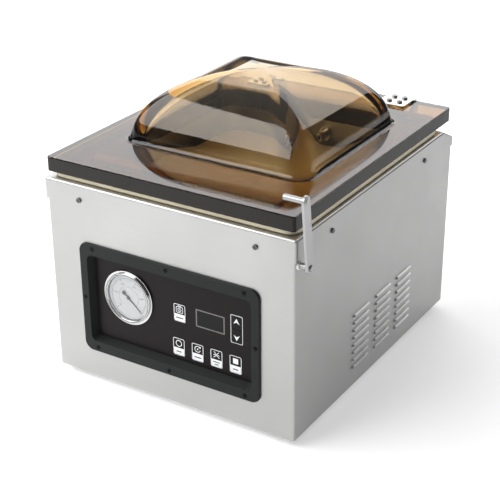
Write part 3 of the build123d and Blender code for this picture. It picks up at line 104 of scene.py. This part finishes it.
# The bars that stand in for each big key's words, in mm: half length, place above the block's middle, width
ONE_SHORT, ONE_LONG = ((3.6, 0.0, 1.3),), ((5.0, 0.0, 1.3),)
LABEL_BARS = {"key_vacuum": ONE_LONG, "key_start": ONE_SHORT, "key_cycle": ONE_LONG,
              "key_seal": ((4.6, 1.6, 1.1), (2.6, -1.6, 1.1)), "key_stop": ONE_SHORT}
ARROWHEAD = ((0.0, 0.62), (-0.62, -0.5), (0.0, -0.12), (0.62, -0.5))    # right and up, as shares of its size
ARROW_SIZE, ARROW_SHIFT = 6.6 * MM, 1.6 * MM
ARROW_MARGIN, ARROW_CORNER = 0.85 * MM, 1.6 * MM    # of the frame round the two arrow keys
DISPLAY_LINE, DISPLAY_CORNER = 1.5 * MM, 0.6 * MM
SMALLEST_CORNER = 0.1 * MM

# The gauge. A radius without MM is a share of the dial's.
DIAL_SWEEP = (225.0, -45.0)     # degrees anticlockwise from +X, from zero to full vacuum
TICKS, LONG_EVERY, MIDDLE_EVERY = 50, 10, 5
TICK_TIP = 0.86
LONG_ROOT, MIDDLE_ROOT, SHORT_ROOT = 0.74, 0.79, 0.815
LONG_WIDTH, TICK_WIDTH = 0.55 * MM, 0.3 * MM
DIAL_CIRCLES = ((0.875, 0.25 * MM), (0.50, 0.2 * MM))   # radius and width
DIAL_TEXT = ("0", "-0.2", "-0.4", "-0.6", "-0.8", "-1")
TEXT_RADIUS, TEXT_HEIGHT = 0.63, 3.6 * MM
DARK_RING_RADIUS, DARK_RING_WIDTH = 31.45 * MM, 0.8 * MM  # a painted dark reflection line on the front of the gauge's ring
CAP_RINGS = ((1.75, 0.0), (1.7, 0.12), (1.4, 0.3), (0.8, 0.42))    # the needle cap's radius and rise, in mm
CAP_TIP = 0.45 * MM

# The stage
FLOOR_HALF = 9.0
FLOOR_GLOW = 0.36
WORLD_GLOW = 0.12
SOFT_BOXES = (("key", (-1.2, -1.0, 1.45), (2.4, 1.5), 48),      # name, place, size and watts
              ("overhead", (-0.7, -0.3, 2.9), (4.6, 4.6), 28),
              ("back", (-1.24, 3.06, 2.3), (6.2, 3.1), 142))
CAMERA_PLACE = (0.77362, -1.26971, 0.85251)
CAMERA_AZIMUTH, CAMERA_ELEVATION, CAMERA_ROLL = 32.009, 26.0, 0.3845    # degrees
CAMERA_LENS, CAMERA_SENSOR = 92.99, 36.0        # mm
CAMERA_CLIP = (0.05, 60.0)


# ---------------------------------------------------------------- materials
class Look:
    """A node material being made: its Principled shader, and short ways to feed it."""

    def __init__(self, name, color, rough, metallic=0.0, **sockets):
        self.material = bpy.data.materials.new(name + "_look")
        self.material.use_nodes = True
        self.tree = self.material.node_tree
        self.shader = self.tree.nodes["Principled BSDF"]
        self.output = self.tree.nodes["Material Output"]
        self.coordinates = self.add("ShaderNodeTexCoord")
        self.color = color
        self.set("Base Color", (*color, 1.0))
        self.set("Roughness", rough)
        self.set("Metallic", metallic)
        for socket, value in sockets.items():
            self.set(socket.replace("_", " "), value)

    def set(self, socket, value):
        self.shader.inputs[socket].default_value = value

    def add(self, kind, **inputs):
        made = self.tree.nodes.new(kind)
        for socket, value in inputs.items():
            made.inputs[socket].default_value = value
        return made

    def link(self, output, node, socket):
        self.tree.links.new(output, node.inputs[socket])

    def stretched(self, per_metre):
        """The object's own coordinates, times a count per metre along each axis."""
        mapping = self.add("ShaderNodeMapping", Scale=per_metre)
        self.link(self.coordinates.outputs["Object"], mapping, "Vector")
        return mapping.outputs["Vector"]

    def noise(self, vector, detail=3.0, rough=0.55):
        made = self.add("ShaderNodeTexNoise", Scale=1.0, Detail=detail, Roughness=rough)
        self.link(vector, made, "Vector")
        return made.outputs["Fac"]

    def ranged(self, factor, low, high):
        """A noise's middle part, spread from low to high."""
        made = self.tree.nodes.new("ShaderNodeMapRange")
        for socket, value in zip((1, 2, 3, 4), (*NOISE_MIDDLE, low, high)):
            made.inputs[socket].default_value = value
        self.link(factor, made, 0)
        return made.outputs[0]

    def tones(self, factor, share):
        """The look's colour, darker and lighter by share, by a factor."""
        ramp = self.tree.nodes.new("ShaderNodeValToRGB")
        for stop, place, sign in zip(ramp.color_ramp.elements, NOISE_MIDDLE, (-1, 1)):
            stop.color = (*[min(1.0, c * (1 + sign * share)) for c in self.color], 1.0)
            stop.position = place
        self.link(factor, ramp, "Fac")
        self.link(ramp.outputs["Color"], self.shader, "Base Color")

    def bump(self, height, depth):
        made = self.add("ShaderNodeBump", Strength=1.0, Distance=depth)
        self.link(height, made, "Height")
        self.link(made.outputs["Normal"], self.shader, "Normal")


def grained(name, color, rough, metallic=0.0, per_metre=(900, 900, 900), share=0.06, spread=0.06,
            depth=0.02 * MM, **sockets):
    """The usual finish: a fine grain that carries a little tone, roughness and relief."""
    look = Look(name, color, rough, metallic, **sockets)
    grain = look.noise(look.stretched(per_metre), detail=4.0)
    blotches = look.noise(look.stretched((25, 25, 25)), detail=2.0)
    look.tones(blotches, share)
    rougher = look.ranged(grain, max(0.0, rough - spread), rough + spread)
    look.link(rougher, look.shader, "Roughness")
    look.bump(grain, depth)
    return look.material


def brushed(name, color, rough, along=7, across=620, share=0.035, spread=0.05, depth=0.012 * MM,
            painted_side_shade=1.0):
    """Sheet metal brushed level: along X on the front, back and top, and along Y on the sides, whose colour
    is multiplied by a factor as painted shade.
    """
    look = Look(name, color, rough, metallic=1.0)
    parts = look.add("ShaderNodeSeparateXYZ")
    look.link(look.coordinates.outputs["Normal"], parts, "Vector")
    size = look.add("ShaderNodeMath")
    size.operation = "ABSOLUTE"
    look.link(parts.outputs["X"], size, 0)
    faces_side = look.add("ShaderNodeMath")
    faces_side.operation = "GREATER_THAN"
    faces_side.inputs[1].default_value = SIDEWAYS
    look.link(size.outputs[0], faces_side, 0)
    # A Mix node's sockets: 0 is the factor, 4 and 5 are the vectors, 6 and 7 are the colours.
    choice = look.tree.nodes.new("ShaderNodeMix")
    choice.data_type = "VECTOR"
    look.link(faces_side.outputs[0], choice, 0)
    look.link(look.stretched((along, across, across)), choice, 4)
    look.link(look.stretched((across, along, across)), choice, 5)
    streaks = look.noise(choice.outputs[1], detail=5.0, rough=0.7)
    clouds = look.noise(look.stretched((9, 9, 9)), detail=2.0)
    look.tones(streaks, share)
    # The sides are brushed across the front's way; their colour is multiplied by a factor as painted shade,
    # so they look less lit than the front.
    toned = look.shader.inputs["Base Color"].links[0].from_socket
    side_shading = look.tree.nodes.new("ShaderNodeMix")
    side_shading.data_type = "RGBA"
    side_shading.blend_type = "MULTIPLY"
    side_shading.inputs[7].default_value = (painted_side_shade, painted_side_shade, painted_side_shade, 1.0)
    look.link(faces_side.outputs[0], side_shading, 0)
    look.link(toned, side_shading, 6)
    look.link(side_shading.outputs[2], look.shader, "Base Color")
    uneven = look.tree.nodes.new("ShaderNodeMath")
    uneven.operation = "MULTIPLY_ADD"
    uneven.inputs[1].default_value = spread
    look.link(look.ranged(clouds, -1.0, 1.0), uneven, 0)
    look.link(look.ranged(streaks, rough - spread, rough + spread), uneven, 2)
    look.link(uneven.outputs[0], look.shader, "Roughness")
    look.bump(streaks, depth)
    return look.material


def clear(name, absorbs, per_metre, rough=0.012, ior=1.49):
    """A clear solid that takes its colour from the thickness that the light crosses."""
    look = Look(name, (1.0, 1.0, 1.0), rough, IOR=ior, Transmission_Weight=1.0)
    wipes = look.noise(look.stretched((60, 14, 60)), detail=5.0)
    look.link(look.ranged(wipes, rough * 0.3, rough * 2.2), look.shader, "Roughness")
    body = look.add("ShaderNodeVolumeAbsorption", Density=per_metre)
    body.inputs["Color"].default_value = (*absorbs, 1.0)
    look.link(body.outputs["Volume"], look.output, "Volume")
    return look.material


def make_looks():
    """A material for each slot of the record, then the finishes that have no slot of their own."""
    grey = 0.47
    return {
        # the brushed steel's sides get painted shade: their colour is 0.83 of the front's
        "stainless_brushed": brushed("stainless_brushed", (grey, grey, grey * 0.99), 0.43, painted_side_shade=0.83),
        "stainless_polished": brushed("stainless_polished", (0.58, 0.58, 0.57), 0.16, spread=0.03,
                                      depth=0.004 * MM),
        "screw_steel": grained("screw_steel", (0.13, 0.13, 0.13), 0.34, 1.0),
        "screw_black": grained("screw_black", (0.002, 0.002, 0.002), 0.3, Specular_IOR_Level=0.12),
        "rubber_black": grained("rubber_black", (0.018, 0.018, 0.018), 0.75, depth=0.05 * MM),
        "bezel_plastic": grained("bezel_plastic", (0.013, 0.016, 0.015), 0.5, depth=0.05 * MM,
                                 Specular_IOR_Level=0.2),
        "overlay_film": grained("overlay_film", (0.0070, 0.0045, 0.0045), 0.34, depth=0.006 * MM,
                                Specular_IOR_Level=0.16),
        "display_smoke": grained("display_smoke", (0.013, 0.014, 0.013), 0.12, spread=0.02,
                                 depth=0.002 * MM, Specular_IOR_Level=0.12),
        "board_green": grained("board_green", (0.02, 0.16, 0.06), 0.45),
        "gauge_chrome": grained("gauge_chrome", (0.58, 0.58, 0.58), 0.10, 1.0, spread=0.03,
                                depth=0.002 * MM),
        "gauge_black": grained("gauge_black", (0.02, 0.02, 0.021), 0.4),
        "dial_white": grained("dial_white", (0.95, 0.97, 1.0), 0.4, share=0.02, depth=0.004 * MM),
        "gauge_glass": clear("gauge_glass", (0.96, 0.99, 0.97), 20.0, rough=0.004, ior=1.46),
        "needle_black": grained("needle_black", (0.012, 0.016, 0.018), 0.4),
        "acrylic_bronze": clear("acrylic_bronze", (0.70, 0.53, 0.18), 185.0),
        "silicone_cream": grained("silicone_cream", (0.80, 0.72, 0.52), 0.5, depth=0.04 * MM,
                                  Subsurface_Weight=0.1, Subsurface_Radius=(0.004, 0.003, 0.002)),
        "silicone_white": grained("silicone_white", (0.83, 0.82, 0.78), 0.5, depth=0.04 * MM),
        "aluminium_bar": brushed("aluminium_bar", (0.72, 0.72, 0.73), 0.33, across=900),
        "nichrome": grained("nichrome", (0.42, 0.40, 0.38), 0.3, 1.0),
        "ptfe_tan": weave("ptfe_tan", (0.46, 0.30, 0.16), 0.42),
        "filler_cream": grained("filler_cream", (0.74, 0.68, 0.55), 0.48, share=0.05, depth=0.06 * MM),
        "motor_paint": grained("motor_paint", (0.07, 0.10, 0.13), 0.42, depth=0.08 * MM),
        "pump_cast": grained("pump_cast", (0.42, 0.43, 0.44), 0.55, 0.9, per_metre=(500, 500, 500),
                             depth=0.15 * MM),
        "core_steel": brushed("core_steel", (0.30, 0.30, 0.31), 0.5, along=900, across=1400),
        "valve_brass": grained("valve_brass", (0.72, 0.52, 0.22), 0.28, 1.0),
        "plastic_black": grained("plastic_black", (0.022, 0.022, 0.023), 0.46, depth=0.06 * MM),
        "filter_paint": grained("filter_paint", (0.50, 0.51, 0.52), 0.4, depth=0.05 * MM),
        # painted shade: near-black and opaque, for the tinted plate's edge seen along its width
        "painted_dark_rim": grained("painted_dark_rim", (0.012, 0.010, 0.008), 0.42, share=0.1, depth=0.01 * MM,
                                Specular_IOR_Level=0.3),
        "hook_steel": brushed("hook_steel", (0.40, 0.40, 0.40), 0.36, across=900),
        "print_grey": grained("print_grey", (0.16, 0.16, 0.155), 0.4),
        "print_dark": grained("print_dark", (0.20, 0.20, 0.23), 0.5),
    }


def weave(name, color, rough):
    """Glass cloth coated with a smooth film: a fine plain weave shows through."""
    look = Look(name, color, rough)
    threads = []
    for axis in ("X", "Y"):
        wave = look.add("ShaderNodeTexWave", Scale=450.0, Distortion=0.6)
        wave.bands_direction = axis
        look.link(look.coordinates.outputs["Object"], wave, "Vector")
        threads.append(wave.outputs["Fac"])
    crossed = look.add("ShaderNodeMath")
    crossed.operation = "MULTIPLY"
    look.link(threads[0], crossed, 0)
    look.link(threads[1], crossed, 1)
    look.tones(crossed.outputs[0], 0.15)
    look.link(look.ranged(crossed.outputs[0], rough - 0.06, rough + 0.08), look.shader, "Roughness")
    look.bump(crossed.outputs[0], 0.04 * MM)
    return look.material


def dress_nodes(looks):
    """Gives every CAD node its slot's look; the importer names each material after its slot."""
    for name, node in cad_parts.items():
        for place in node.material_slots:
            place.material = looks[LOOK_OF.get(name) or place.material.name.split(".")[0]]


# ---------------------------------------------------------------- mesh helpers
def piece(name, bm, body, slot, looks):
    """A finished mesh as a piece on its body, smooth but for its sharp edges."""
    bmesh.ops.remove_doubles(bm, verts=bm.verts, dist=MERGE)
    bmesh.ops.recalc_face_normals(bm, faces=bm.faces)
    for face in bm.faces:
        face.smooth = True
    for edge in bm.edges:
        edge.smooth = len(edge.link_faces) == 2 and edge.calc_face_angle() < SHARP
    mesh = bpy.data.meshes.new(name)
    bm.to_mesh(mesh)
    bm.free()
    made = bpy.data.objects.new(name, mesh)
    bpy.context.scene.collection.objects.link(made)
    mesh.materials.append(looks[slot])
    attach(made, body)
    return made


def rounded_rectangle(half_x, half_y, corner, centre=(0.0, 0.0), per_corner=12, per_side=14):
    """Points of a rounded rectangle, anticlockwise. Their number doesn't depend on its size, so they loft."""
    points = []
    spread = (half_x - corner, half_y - corner)
    signs = ((1, 1), (-1, 1), (-1, -1), (1, -1))
    for quarter in range(4):
        here, there = signs[quarter], signs[(quarter + 1) % 4]
        for step in range(per_corner + 1):
            angle = math.radians(90 * (quarter + step / per_corner))
            points.append((here[0] * spread[0] + corner * math.cos(angle),
                           here[1] * spread[1] + corner * math.sin(angle)))
        end_angle = math.radians(90 * (quarter + 1))
        end = points[-1]
        start = (there[0] * spread[0] + corner * math.cos(end_angle),
                 there[1] * spread[1] + corner * math.sin(end_angle))
        for step in range(1, per_side):
            share = step / per_side
            points.append((end[0] + (start[0] - end[0]) * share, end[1] + (start[1] - end[1]) * share))
    return [(centre[0] + x, centre[1] + y) for x, y in points]


def loft(bm, rings):
    """Skins rings of equal count, one to the next."""
    made = [[bm.verts.new(point) for point in ring] for ring in rings]
    count = len(made[0])
    for low, high in zip(made, made[1:]):
        for i in range(count):
            j = (i + 1) % count
            bm.faces.new((low[i], low[j], high[j], high[i]))
    return made


def close_to_point(bm, ring, point):
    tip = bm.verts.new(point)
    for i, vert in enumerate(ring):
        bm.faces.new((vert, ring[(i + 1) % len(ring)], tip))


# ---------------------------------------------------------------- the lid
def dome_rings(half_x, half_y, height, centre, foot_z, corners):
    """Rings up the dome, from its foot to near its top: rounded rectangles on a superelliptic profile."""
    rings = []
    foot, top = corners
    for step in range(DOME_RINGS):
        turn = math.pi / 2 * step / DOME_RINGS
        rise = math.sin(turn) ** (2 / DOME_POWER)
        shrink = math.cos(turn) ** (2 / DOME_POWER)
        corner = (foot + (top - foot) * rise ** DOME_CORNER_POWER) * min(half_x, half_y) * shrink
        outline = rounded_rectangle(half_x * shrink, half_y * shrink, corner, centre)
        rings.append([(x, y, foot_z + height * rise) for x, y in outline])
    return rings


def make_lid(looks):
    """The plate and its dome as one closed moulding, with a concave sweep at the dome's foot."""
    low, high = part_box("lid_plate")
    dome_low, dome_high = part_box("lid_dome")
    middle = ((low.x + high.x) / 2, (low.y + high.y) / 2)
    half = ((high.x - low.x) / 2, (high.y - low.y) / 2)
    plate_top = high.z
    dome_at = ((dome_low.x + dome_high.x) / 2, (dome_low.y + dome_high.y) / 2)
    dome_half = [(dome_high.x - dome_low.x) / 2 - DOME_FLARE, (dome_high.y - dome_low.y) / 2 - DOME_FLARE]
    dome_height = dome_high.z - plate_top
    inner_half = [size - DOME_WALL for size in dome_half]
    inside = dome_rings(*inner_half, dome_height - DOME_WALL, dome_at, plate_top, DOME_INNER_CORNERS)
    outside = dome_rings(*dome_half, dome_height, dome_at, plate_top, DOME_CORNERS)

    def plate_ring(inset, z):
        outline = rounded_rectangle(half[0] - inset, half[1] - inset, PLATE_CORNER - inset, middle)
        return [(x, y, z) for x, y in outline]

    def foot_ring(out, z):
        """A ring this far outside the dome's foot."""
        outline = rounded_rectangle(dome_half[0] + out, dome_half[1] + out,
                                    DOME_CORNERS[0] * dome_half[1] + out, dome_at)
        return [(x, y, z) for x, y in outline]

    bottom = low.z + GASKET_AIR
    mouth = rounded_rectangle(*inner_half, DOME_INNER_CORNERS[0] * inner_half[1], dome_at)
    plate = [[(x, y, bottom) for x, y in mouth]]
    plate += [plate_ring(inset * MM, bottom + up * MM) for inset, up in RIM_LOW]
    plate += [plate_ring(inset * MM, plate_top - down * MM) for inset, down in RIM_HIGH]
    plate.append(foot_ring(DOME_FLARE + FLARE_AHEAD, plate_top))
    flare = []
    for step in range(FLARE_RINGS):
        turn = math.pi / 2 * step / FLARE_RINGS
        flare.append(foot_ring(DOME_FLARE * (1 - math.sin(turn)),
                               plate_top + DOME_FLARE * (1 - math.cos(turn))))
    outer = [ring for ring in outside if ring[0][2] > plate_top + DOME_FLARE]
    bm = bmesh.new()
    rings = loft(bm, inside[::-1] + plate + flare + outer)
    close_to_point(bm, rings[0], (*dome_at, dome_high.z - DOME_WALL))
    close_to_point(bm, rings[-1], (*dome_at, dome_high.z))
    for face in bm.faces:           # the plate's upright edge gets an opaque near-black look: painted shade for the light lost along the tinted plate's width
        if all(bottom + DARK_RIM_ABOVE < vert.co.z < plate_top - DARK_RIM_BELOW for vert in face.verts):
            face.material_index = 1
    lid = piece("lid_moulding", bm, "lid", "acrylic_bronze", looks)
    lid.data.materials.append(looks["painted_dark_rim"])
    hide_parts("lid_plate", "lid_dome")


# ---------------------------------------------------------------- printing on upright faces
def slab(bm, outline, y):
    """A thin printed patch: an outline of (x, z) points, standing INK proud of the face at y."""
    front = [bm.verts.new((x, y - INK, z)) for x, z in outline]
    back = [bm.verts.new((x, y, z)) for x, z in outline]
    bm.faces.new(front)
    bm.faces.new(back[::-1])
    for i in range(len(outline)):
        j = (i + 1) % len(outline)
        bm.faces.new((front[i], front[j], back[j], back[i]))


def band(bm, outer, inner, y):
    """A printed line between two outlines of equal count."""
    rings = [[(x, y, z) for x, z in outer], [(x, y - INK, z) for x, z in outer],
             [(x, y - INK, z) for x, z in inner], [(x, y, z) for x, z in inner]]
    rings.append(rings[0])
    loft(bm, rings)


def frame_line(bm, x, z, half_x, half_z, corner, width, y):
    """A line round a rounded rectangle, inside the given half sizes."""
    outer = rounded_rectangle(half_x, half_z, corner, (x, z), per_corner=6, per_side=2)
    inner = rounded_rectangle(half_x - width, half_z - width, max(corner - width, SMALLEST_CORNER), (x, z),
                              per_corner=6, per_side=2)
    band(bm, outer, inner, y)


def arc(x, z, radius, start, end, steps=24):
    """(x, z) points on an arc, in degrees anticlockwise as seen from the front."""
    turns = [math.radians(start + (end - start) * i / steps) for i in range(steps + 1)]
    return [(x + radius * math.cos(t), z + radius * math.sin(t)) for t in turns]


def circle(x, z, radius, steps=24):
    """The points of a full turn, without the first one again at its end."""
    return arc(x, z, radius, 0.0, 360.0, steps)[:-1]


def ring_line(bm, x, z, radius, width, y):
    band(bm, circle(x, z, radius), circle(x, z, radius - width), y)


def arc_line(bm, x, z, radius, width, y, start, end):
    """A part of a ring with square ends, in short patches."""
    outer = arc(x, z, radius, start, end)
    inner = arc(x, z, radius - width, start, end)
    for i in range(len(outer) - 1):
        slab(bm, [outer[i], outer[i + 1], inner[i + 1], inner[i]], y)


def bar(bm, start, end, width, y):
    """A straight printed stroke."""
    way = Vector(end) - Vector(start)
    side = Vector((-way.y, way.x)).normalized() * width / 2
    a, b = Vector(start), Vector(end)
    slab(bm, [tuple(a + side), tuple(b + side), tuple(b - side), tuple(a - side)], y)


def arrowhead(bm, x, z, size, sign, y):
    """A notched arrowhead that points up or down."""
    slab(bm, [(x + right * size, z + sign * up * size) for right, up in ARROWHEAD], y)


def key_icon(bm, name, x, z, y):
    """The white drawing above a key's block. x, z is its middle."""
    def at(right, up):
        return x + right * MM, z + up * MM

    if name == "key_start":
        ring_line(bm, x, z, 4.4 * MM, STROKE, y)
    elif name == "key_cycle":
        arc_line(bm, x, z, 4.3 * MM, STROKE, y, 50, 345)
        slab(bm, circle(x, z, 1.0 * MM, 12), y)
        slab(bm, [at(4.9, 3.9), at(1.2, 4.2), at(3.4, 1.2)], y)
    elif name == "key_stop":
        half = 3.5 * MM
        slab(bm, rounded_rectangle(half, half, 0.3 * MM, (x, z), per_corner=3, per_side=1), y)
    elif name == "key_vacuum":
        low = z - 0.4 * MM
        frame_line(bm, x, low, 4.9 * MM, 4.1 * MM, 1.4 * MM, FINE_STROKE, y)
        ring_line(bm, x, low, 2.6 * MM, FINE_STROKE, y)
        slab(bm, circle(x, low, 0.7 * MM, 10), y)
        bar(bm, at(-2.4, 4.6), at(2.4, 4.6), THIN_STROKE, y)
    elif name == "key_seal":
        for side in (-1, 1):
            bar(bm, at(0.0, -0.2), at(side * 4.0, -3.4), STROKE, y)
            bar(bm, at(0.0, 1.3), at(side * 4.2, -0.3), THIN_STROKE, y)
            bar(bm, at(side * 1.0, 2.0), at(side * 3.4, 4.1), THIN_STROKE, y)


def make_key_printing(looks):
    """Outline, block, icon and label bars on each big key, and an arrowhead on each small one."""
    for name, bars in LABEL_BARS.items():
        low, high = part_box(name)
        x, z = (low.x + high.x) / 2, (low.z + high.z) / 2
        half_x, half_z = (high.x - low.x) / 2 - KEY_MARGIN, (high.z - low.z) / 2 - KEY_MARGIN
        block_top = low.z + (high.z - low.z) * KEY_BLOCK
        block_z = (low.z + block_top) / 2 + BLOCK_MARGIN
        block_half = (block_top - low.z) / 2 - BLOCK_MARGIN
        white = bmesh.new()
        frame_line(white, x, z, half_x, half_z, KEY_CORNER, KEY_LINE, low.y)
        slab(white, rounded_rectangle(half_x - KEY_LINE / 2, block_half, BLOCK_CORNER,
                                      (x, block_z + BLOCK_MARGIN / 2), per_corner=4, per_side=1), low.y)
        key_icon(white, name, x, (block_top + high.z - KEY_LINE) / 2, low.y)
        piece(name + "_printing", white, name, "dial_white", looks)
        dark = bmesh.new()
        for half, up, width in bars:
            level = block_z + up * MM
            bar(dark, (x - half * MM, level), (x + half * MM, level), width * MM, low.y - INK)
        piece(name + "_label", dark, name, "overlay_film", looks)
    for name, sign in (("key_up", 1), ("key_down", -1)):
        low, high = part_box(name)
        white = bmesh.new()
        arrowhead(white, (low.x + high.x) / 2, (low.z + high.z) / 2 + sign * ARROW_SHIFT, ARROW_SIZE, sign,
                  low.y)
        piece(name + "_printing", white, name, "dial_white", looks)


def make_overlay_printing(looks):
    """The grey border of the display, and the white frame round the two arrow keys."""
    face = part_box("panel_overlay")[0].y
    low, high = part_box("display_window")
    bm = bmesh.new()
    frame_line(bm, (low.x + high.x) / 2, (low.z + high.z) / 2, (high.x - low.x) / 2 + DISPLAY_LINE,
               (high.z - low.z) / 2 + DISPLAY_LINE, DISPLAY_CORNER, DISPLAY_LINE, face)
    piece("display_border", bm, "casing", "print_grey", looks)
    bm = bmesh.new()
    up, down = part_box("key_up"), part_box("key_down")
    frame_line(bm, (up[0].x + up[1].x) / 2, (down[0].z + up[1].z) / 2,
               (up[1].x - up[0].x) / 2 + ARROW_MARGIN, (up[1].z - down[0].z) / 2 + ARROW_MARGIN,
               ARROW_CORNER, KEY_LINE, face)
    piece("arrow_frame", bm, "casing", "dial_white", looks)


# ---------------------------------------------------------------- the gauge
def make_dial(looks):
    """Ticks, two arcs and numbers on the dial, a painted dark reflection line on the ring, and a steel cap on
    the needle's hub.
    """
    low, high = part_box("gauge_dial")
    x, z = (low.x + high.x) / 2, (low.z + high.z) / 2
    radius = (high.x - low.x) / 2
    marks = bmesh.new()
    start, end = DIAL_SWEEP
    for i in range(TICKS + 1):
        angle = math.radians(start + (end - start) * i / TICKS)
        way = Vector((math.cos(angle), math.sin(angle)))
        long = i % LONG_EVERY == 0
        root = LONG_ROOT if long else MIDDLE_ROOT if i % MIDDLE_EVERY == 0 else SHORT_ROOT
        bar(marks, tuple(Vector((x, z)) + way * (radius * root)),
            tuple(Vector((x, z)) + way * (radius * TICK_TIP)), LONG_WIDTH if long else TICK_WIDTH, low.y)
    for share, width in DIAL_CIRCLES:
        arc_line(marks, x, z, radius * share, width, low.y, end, start)
    piece("dial_marks", marks, "casing", "print_dark", looks)
    for i, text in enumerate(DIAL_TEXT):
        angle = math.radians(start + (end - start) * i / (len(DIAL_TEXT) - 1))
        place = Vector((x, low.y, z)) + Vector((math.cos(angle), 0, math.sin(angle))) * radius * TEXT_RADIUS
        number = flat_text(text, TEXT_HEIGHT, place)
        piece(f"dial_number_{i}", number, "casing", "print_dark", looks)
    # painted reflection: a black line on the chrome ring's front, standing in for the dark band it reflects
    painted_band = bmesh.new()
    ring_line(painted_band, x, z, DARK_RING_RADIUS, DARK_RING_WIDTH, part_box("gauge_ring")[0].y)
    piece("gauge_ring_painted_band", painted_band, "casing", "gauge_black", looks)
    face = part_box("gauge_needle")[0].y
    cap = bmesh.new()
    made = loft(cap, [[(px, face - rise * MM, pz) for px, pz in circle(x, z, ring * MM)]
                      for ring, rise in CAP_RINGS])
    close_to_point(cap, made[0], (x, face, z))
    close_to_point(cap, made[-1], (x, face - CAP_TIP, z))
    piece("needle_cap", cap, "needle", "screw_steel", looks)


def flat_text(text, height, place):
    """Digits as a thin mesh that faces -Y, its middle at place."""
    curve = bpy.data.curves.new("digits", "FONT")
    curve.body = text
    curve.size = height
    curve.align_x = "CENTER"
    curve.align_y = "CENTER"
    curve.extrude = INK / 2
    curve.resolution_u = 3
    holder = bpy.data.objects.new("digits", curve)
    bpy.context.scene.collection.objects.link(holder)
    bpy.context.view_layer.update()
    mesh = bpy.data.meshes.new_from_object(holder)
    bm = bmesh.new()
    bm.from_mesh(mesh)
    bpy.data.objects.remove(holder)
    bpy.data.curves.remove(curve)
    bpy.data.meshes.remove(mesh)
    upright = Euler((math.pi / 2, 0, 0)).to_matrix().to_4x4()
    bm.transform(Matrix.Translation(place + Vector((0, -INK / 2, 0))) @ upright)
    return bm


# ---------------------------------------------------------------- the stage
def make_floor():
    """A wide pale floor under the feet."""
    bm = bmesh.new()
    bmesh.ops.create_grid(bm, x_segments=1, y_segments=1, size=FLOOR_HALF)
    mesh = bpy.data.meshes.new("floor")
    bm.to_mesh(mesh)
    bm.free()
    floor = bpy.data.objects.new("floor", mesh)
    bpy.context.scene.collection.objects.link(floor)
    look = Look("floor", (0.93, 0.93, 0.93), 0.8, Emission_Color=(1.0, 1.0, 1.0, 1.0),
                Emission_Strength=FLOOR_GLOW)
    look.tones(look.noise(look.stretched((3, 3, 3))), 0.004)
    mesh.materials.append(look.material)


def make_light(name, place, aim, size, watts):
    data = bpy.data.lights.new(name, "AREA")
    data.shape = "RECTANGLE"
    data.size, data.size_y = size
    data.energy = watts
    light = bpy.data.objects.new(name, data)
    light.location = place
    light.rotation_mode = "QUATERNION"
    light.rotation_quaternion = (Vector(aim) - Vector(place)).to_track_quat("-Z", "Y")
    bpy.context.scene.collection.objects.link(light)


def make_lights():
    """Soft boxes from the left front, from overhead, and from behind, which the lid mirrors; a dim world."""
    low, high = cad_box
    middle = (low + high) / 2
    for name, place, size, watts in SOFT_BOXES:
        make_light(name, place, middle, size, watts)
    world = bpy.data.worlds.new("studio")
    world.use_nodes = True
    ground = world.node_tree.nodes["Background"]
    ground.inputs["Color"].default_value = (0.98, 0.99, 1.0, 1.0)
    ground.inputs["Strength"].default_value = WORLD_GLOW
    bpy.context.scene.world = world


def make_camera():
    """The photograph's view: from the right front and above, through a long lens, and rolled a little."""
    azimuth, elevation, roll = map(math.radians, (CAMERA_AZIMUTH, CAMERA_ELEVATION, CAMERA_ROLL))
    back = Vector((math.sin(azimuth) * math.cos(elevation), -math.cos(azimuth) * math.cos(elevation),
                   math.sin(elevation)))
    data = bpy.data.cameras.new("photo_view")
    data.lens, data.sensor_width = CAMERA_LENS, CAMERA_SENSOR
    data.clip_start, data.clip_end = CAMERA_CLIP
    camera = bpy.data.objects.new("photo_view", data)
    turn = (-back).to_track_quat("-Z", "Y").to_matrix().to_4x4() @ Matrix.Rotation(-roll, 4, "Z")
    turn.translation = CAMERA_PLACE
    camera.matrix_world = turn
    bpy.context.scene.collection.objects.link(camera)
    bpy.context.scene.camera = camera


# ---------------------------------------------------------------- making it
def main():
    looks = make_looks()
    dress_nodes(looks)
    make_lid(looks)
    make_key_printing(looks)
    make_overlay_printing(looks)
    make_dial(looks)
    make_floor()
    make_lights()
    make_camera()
    bpy.context.scene.view_settings.view_transform = "Standard"


main()
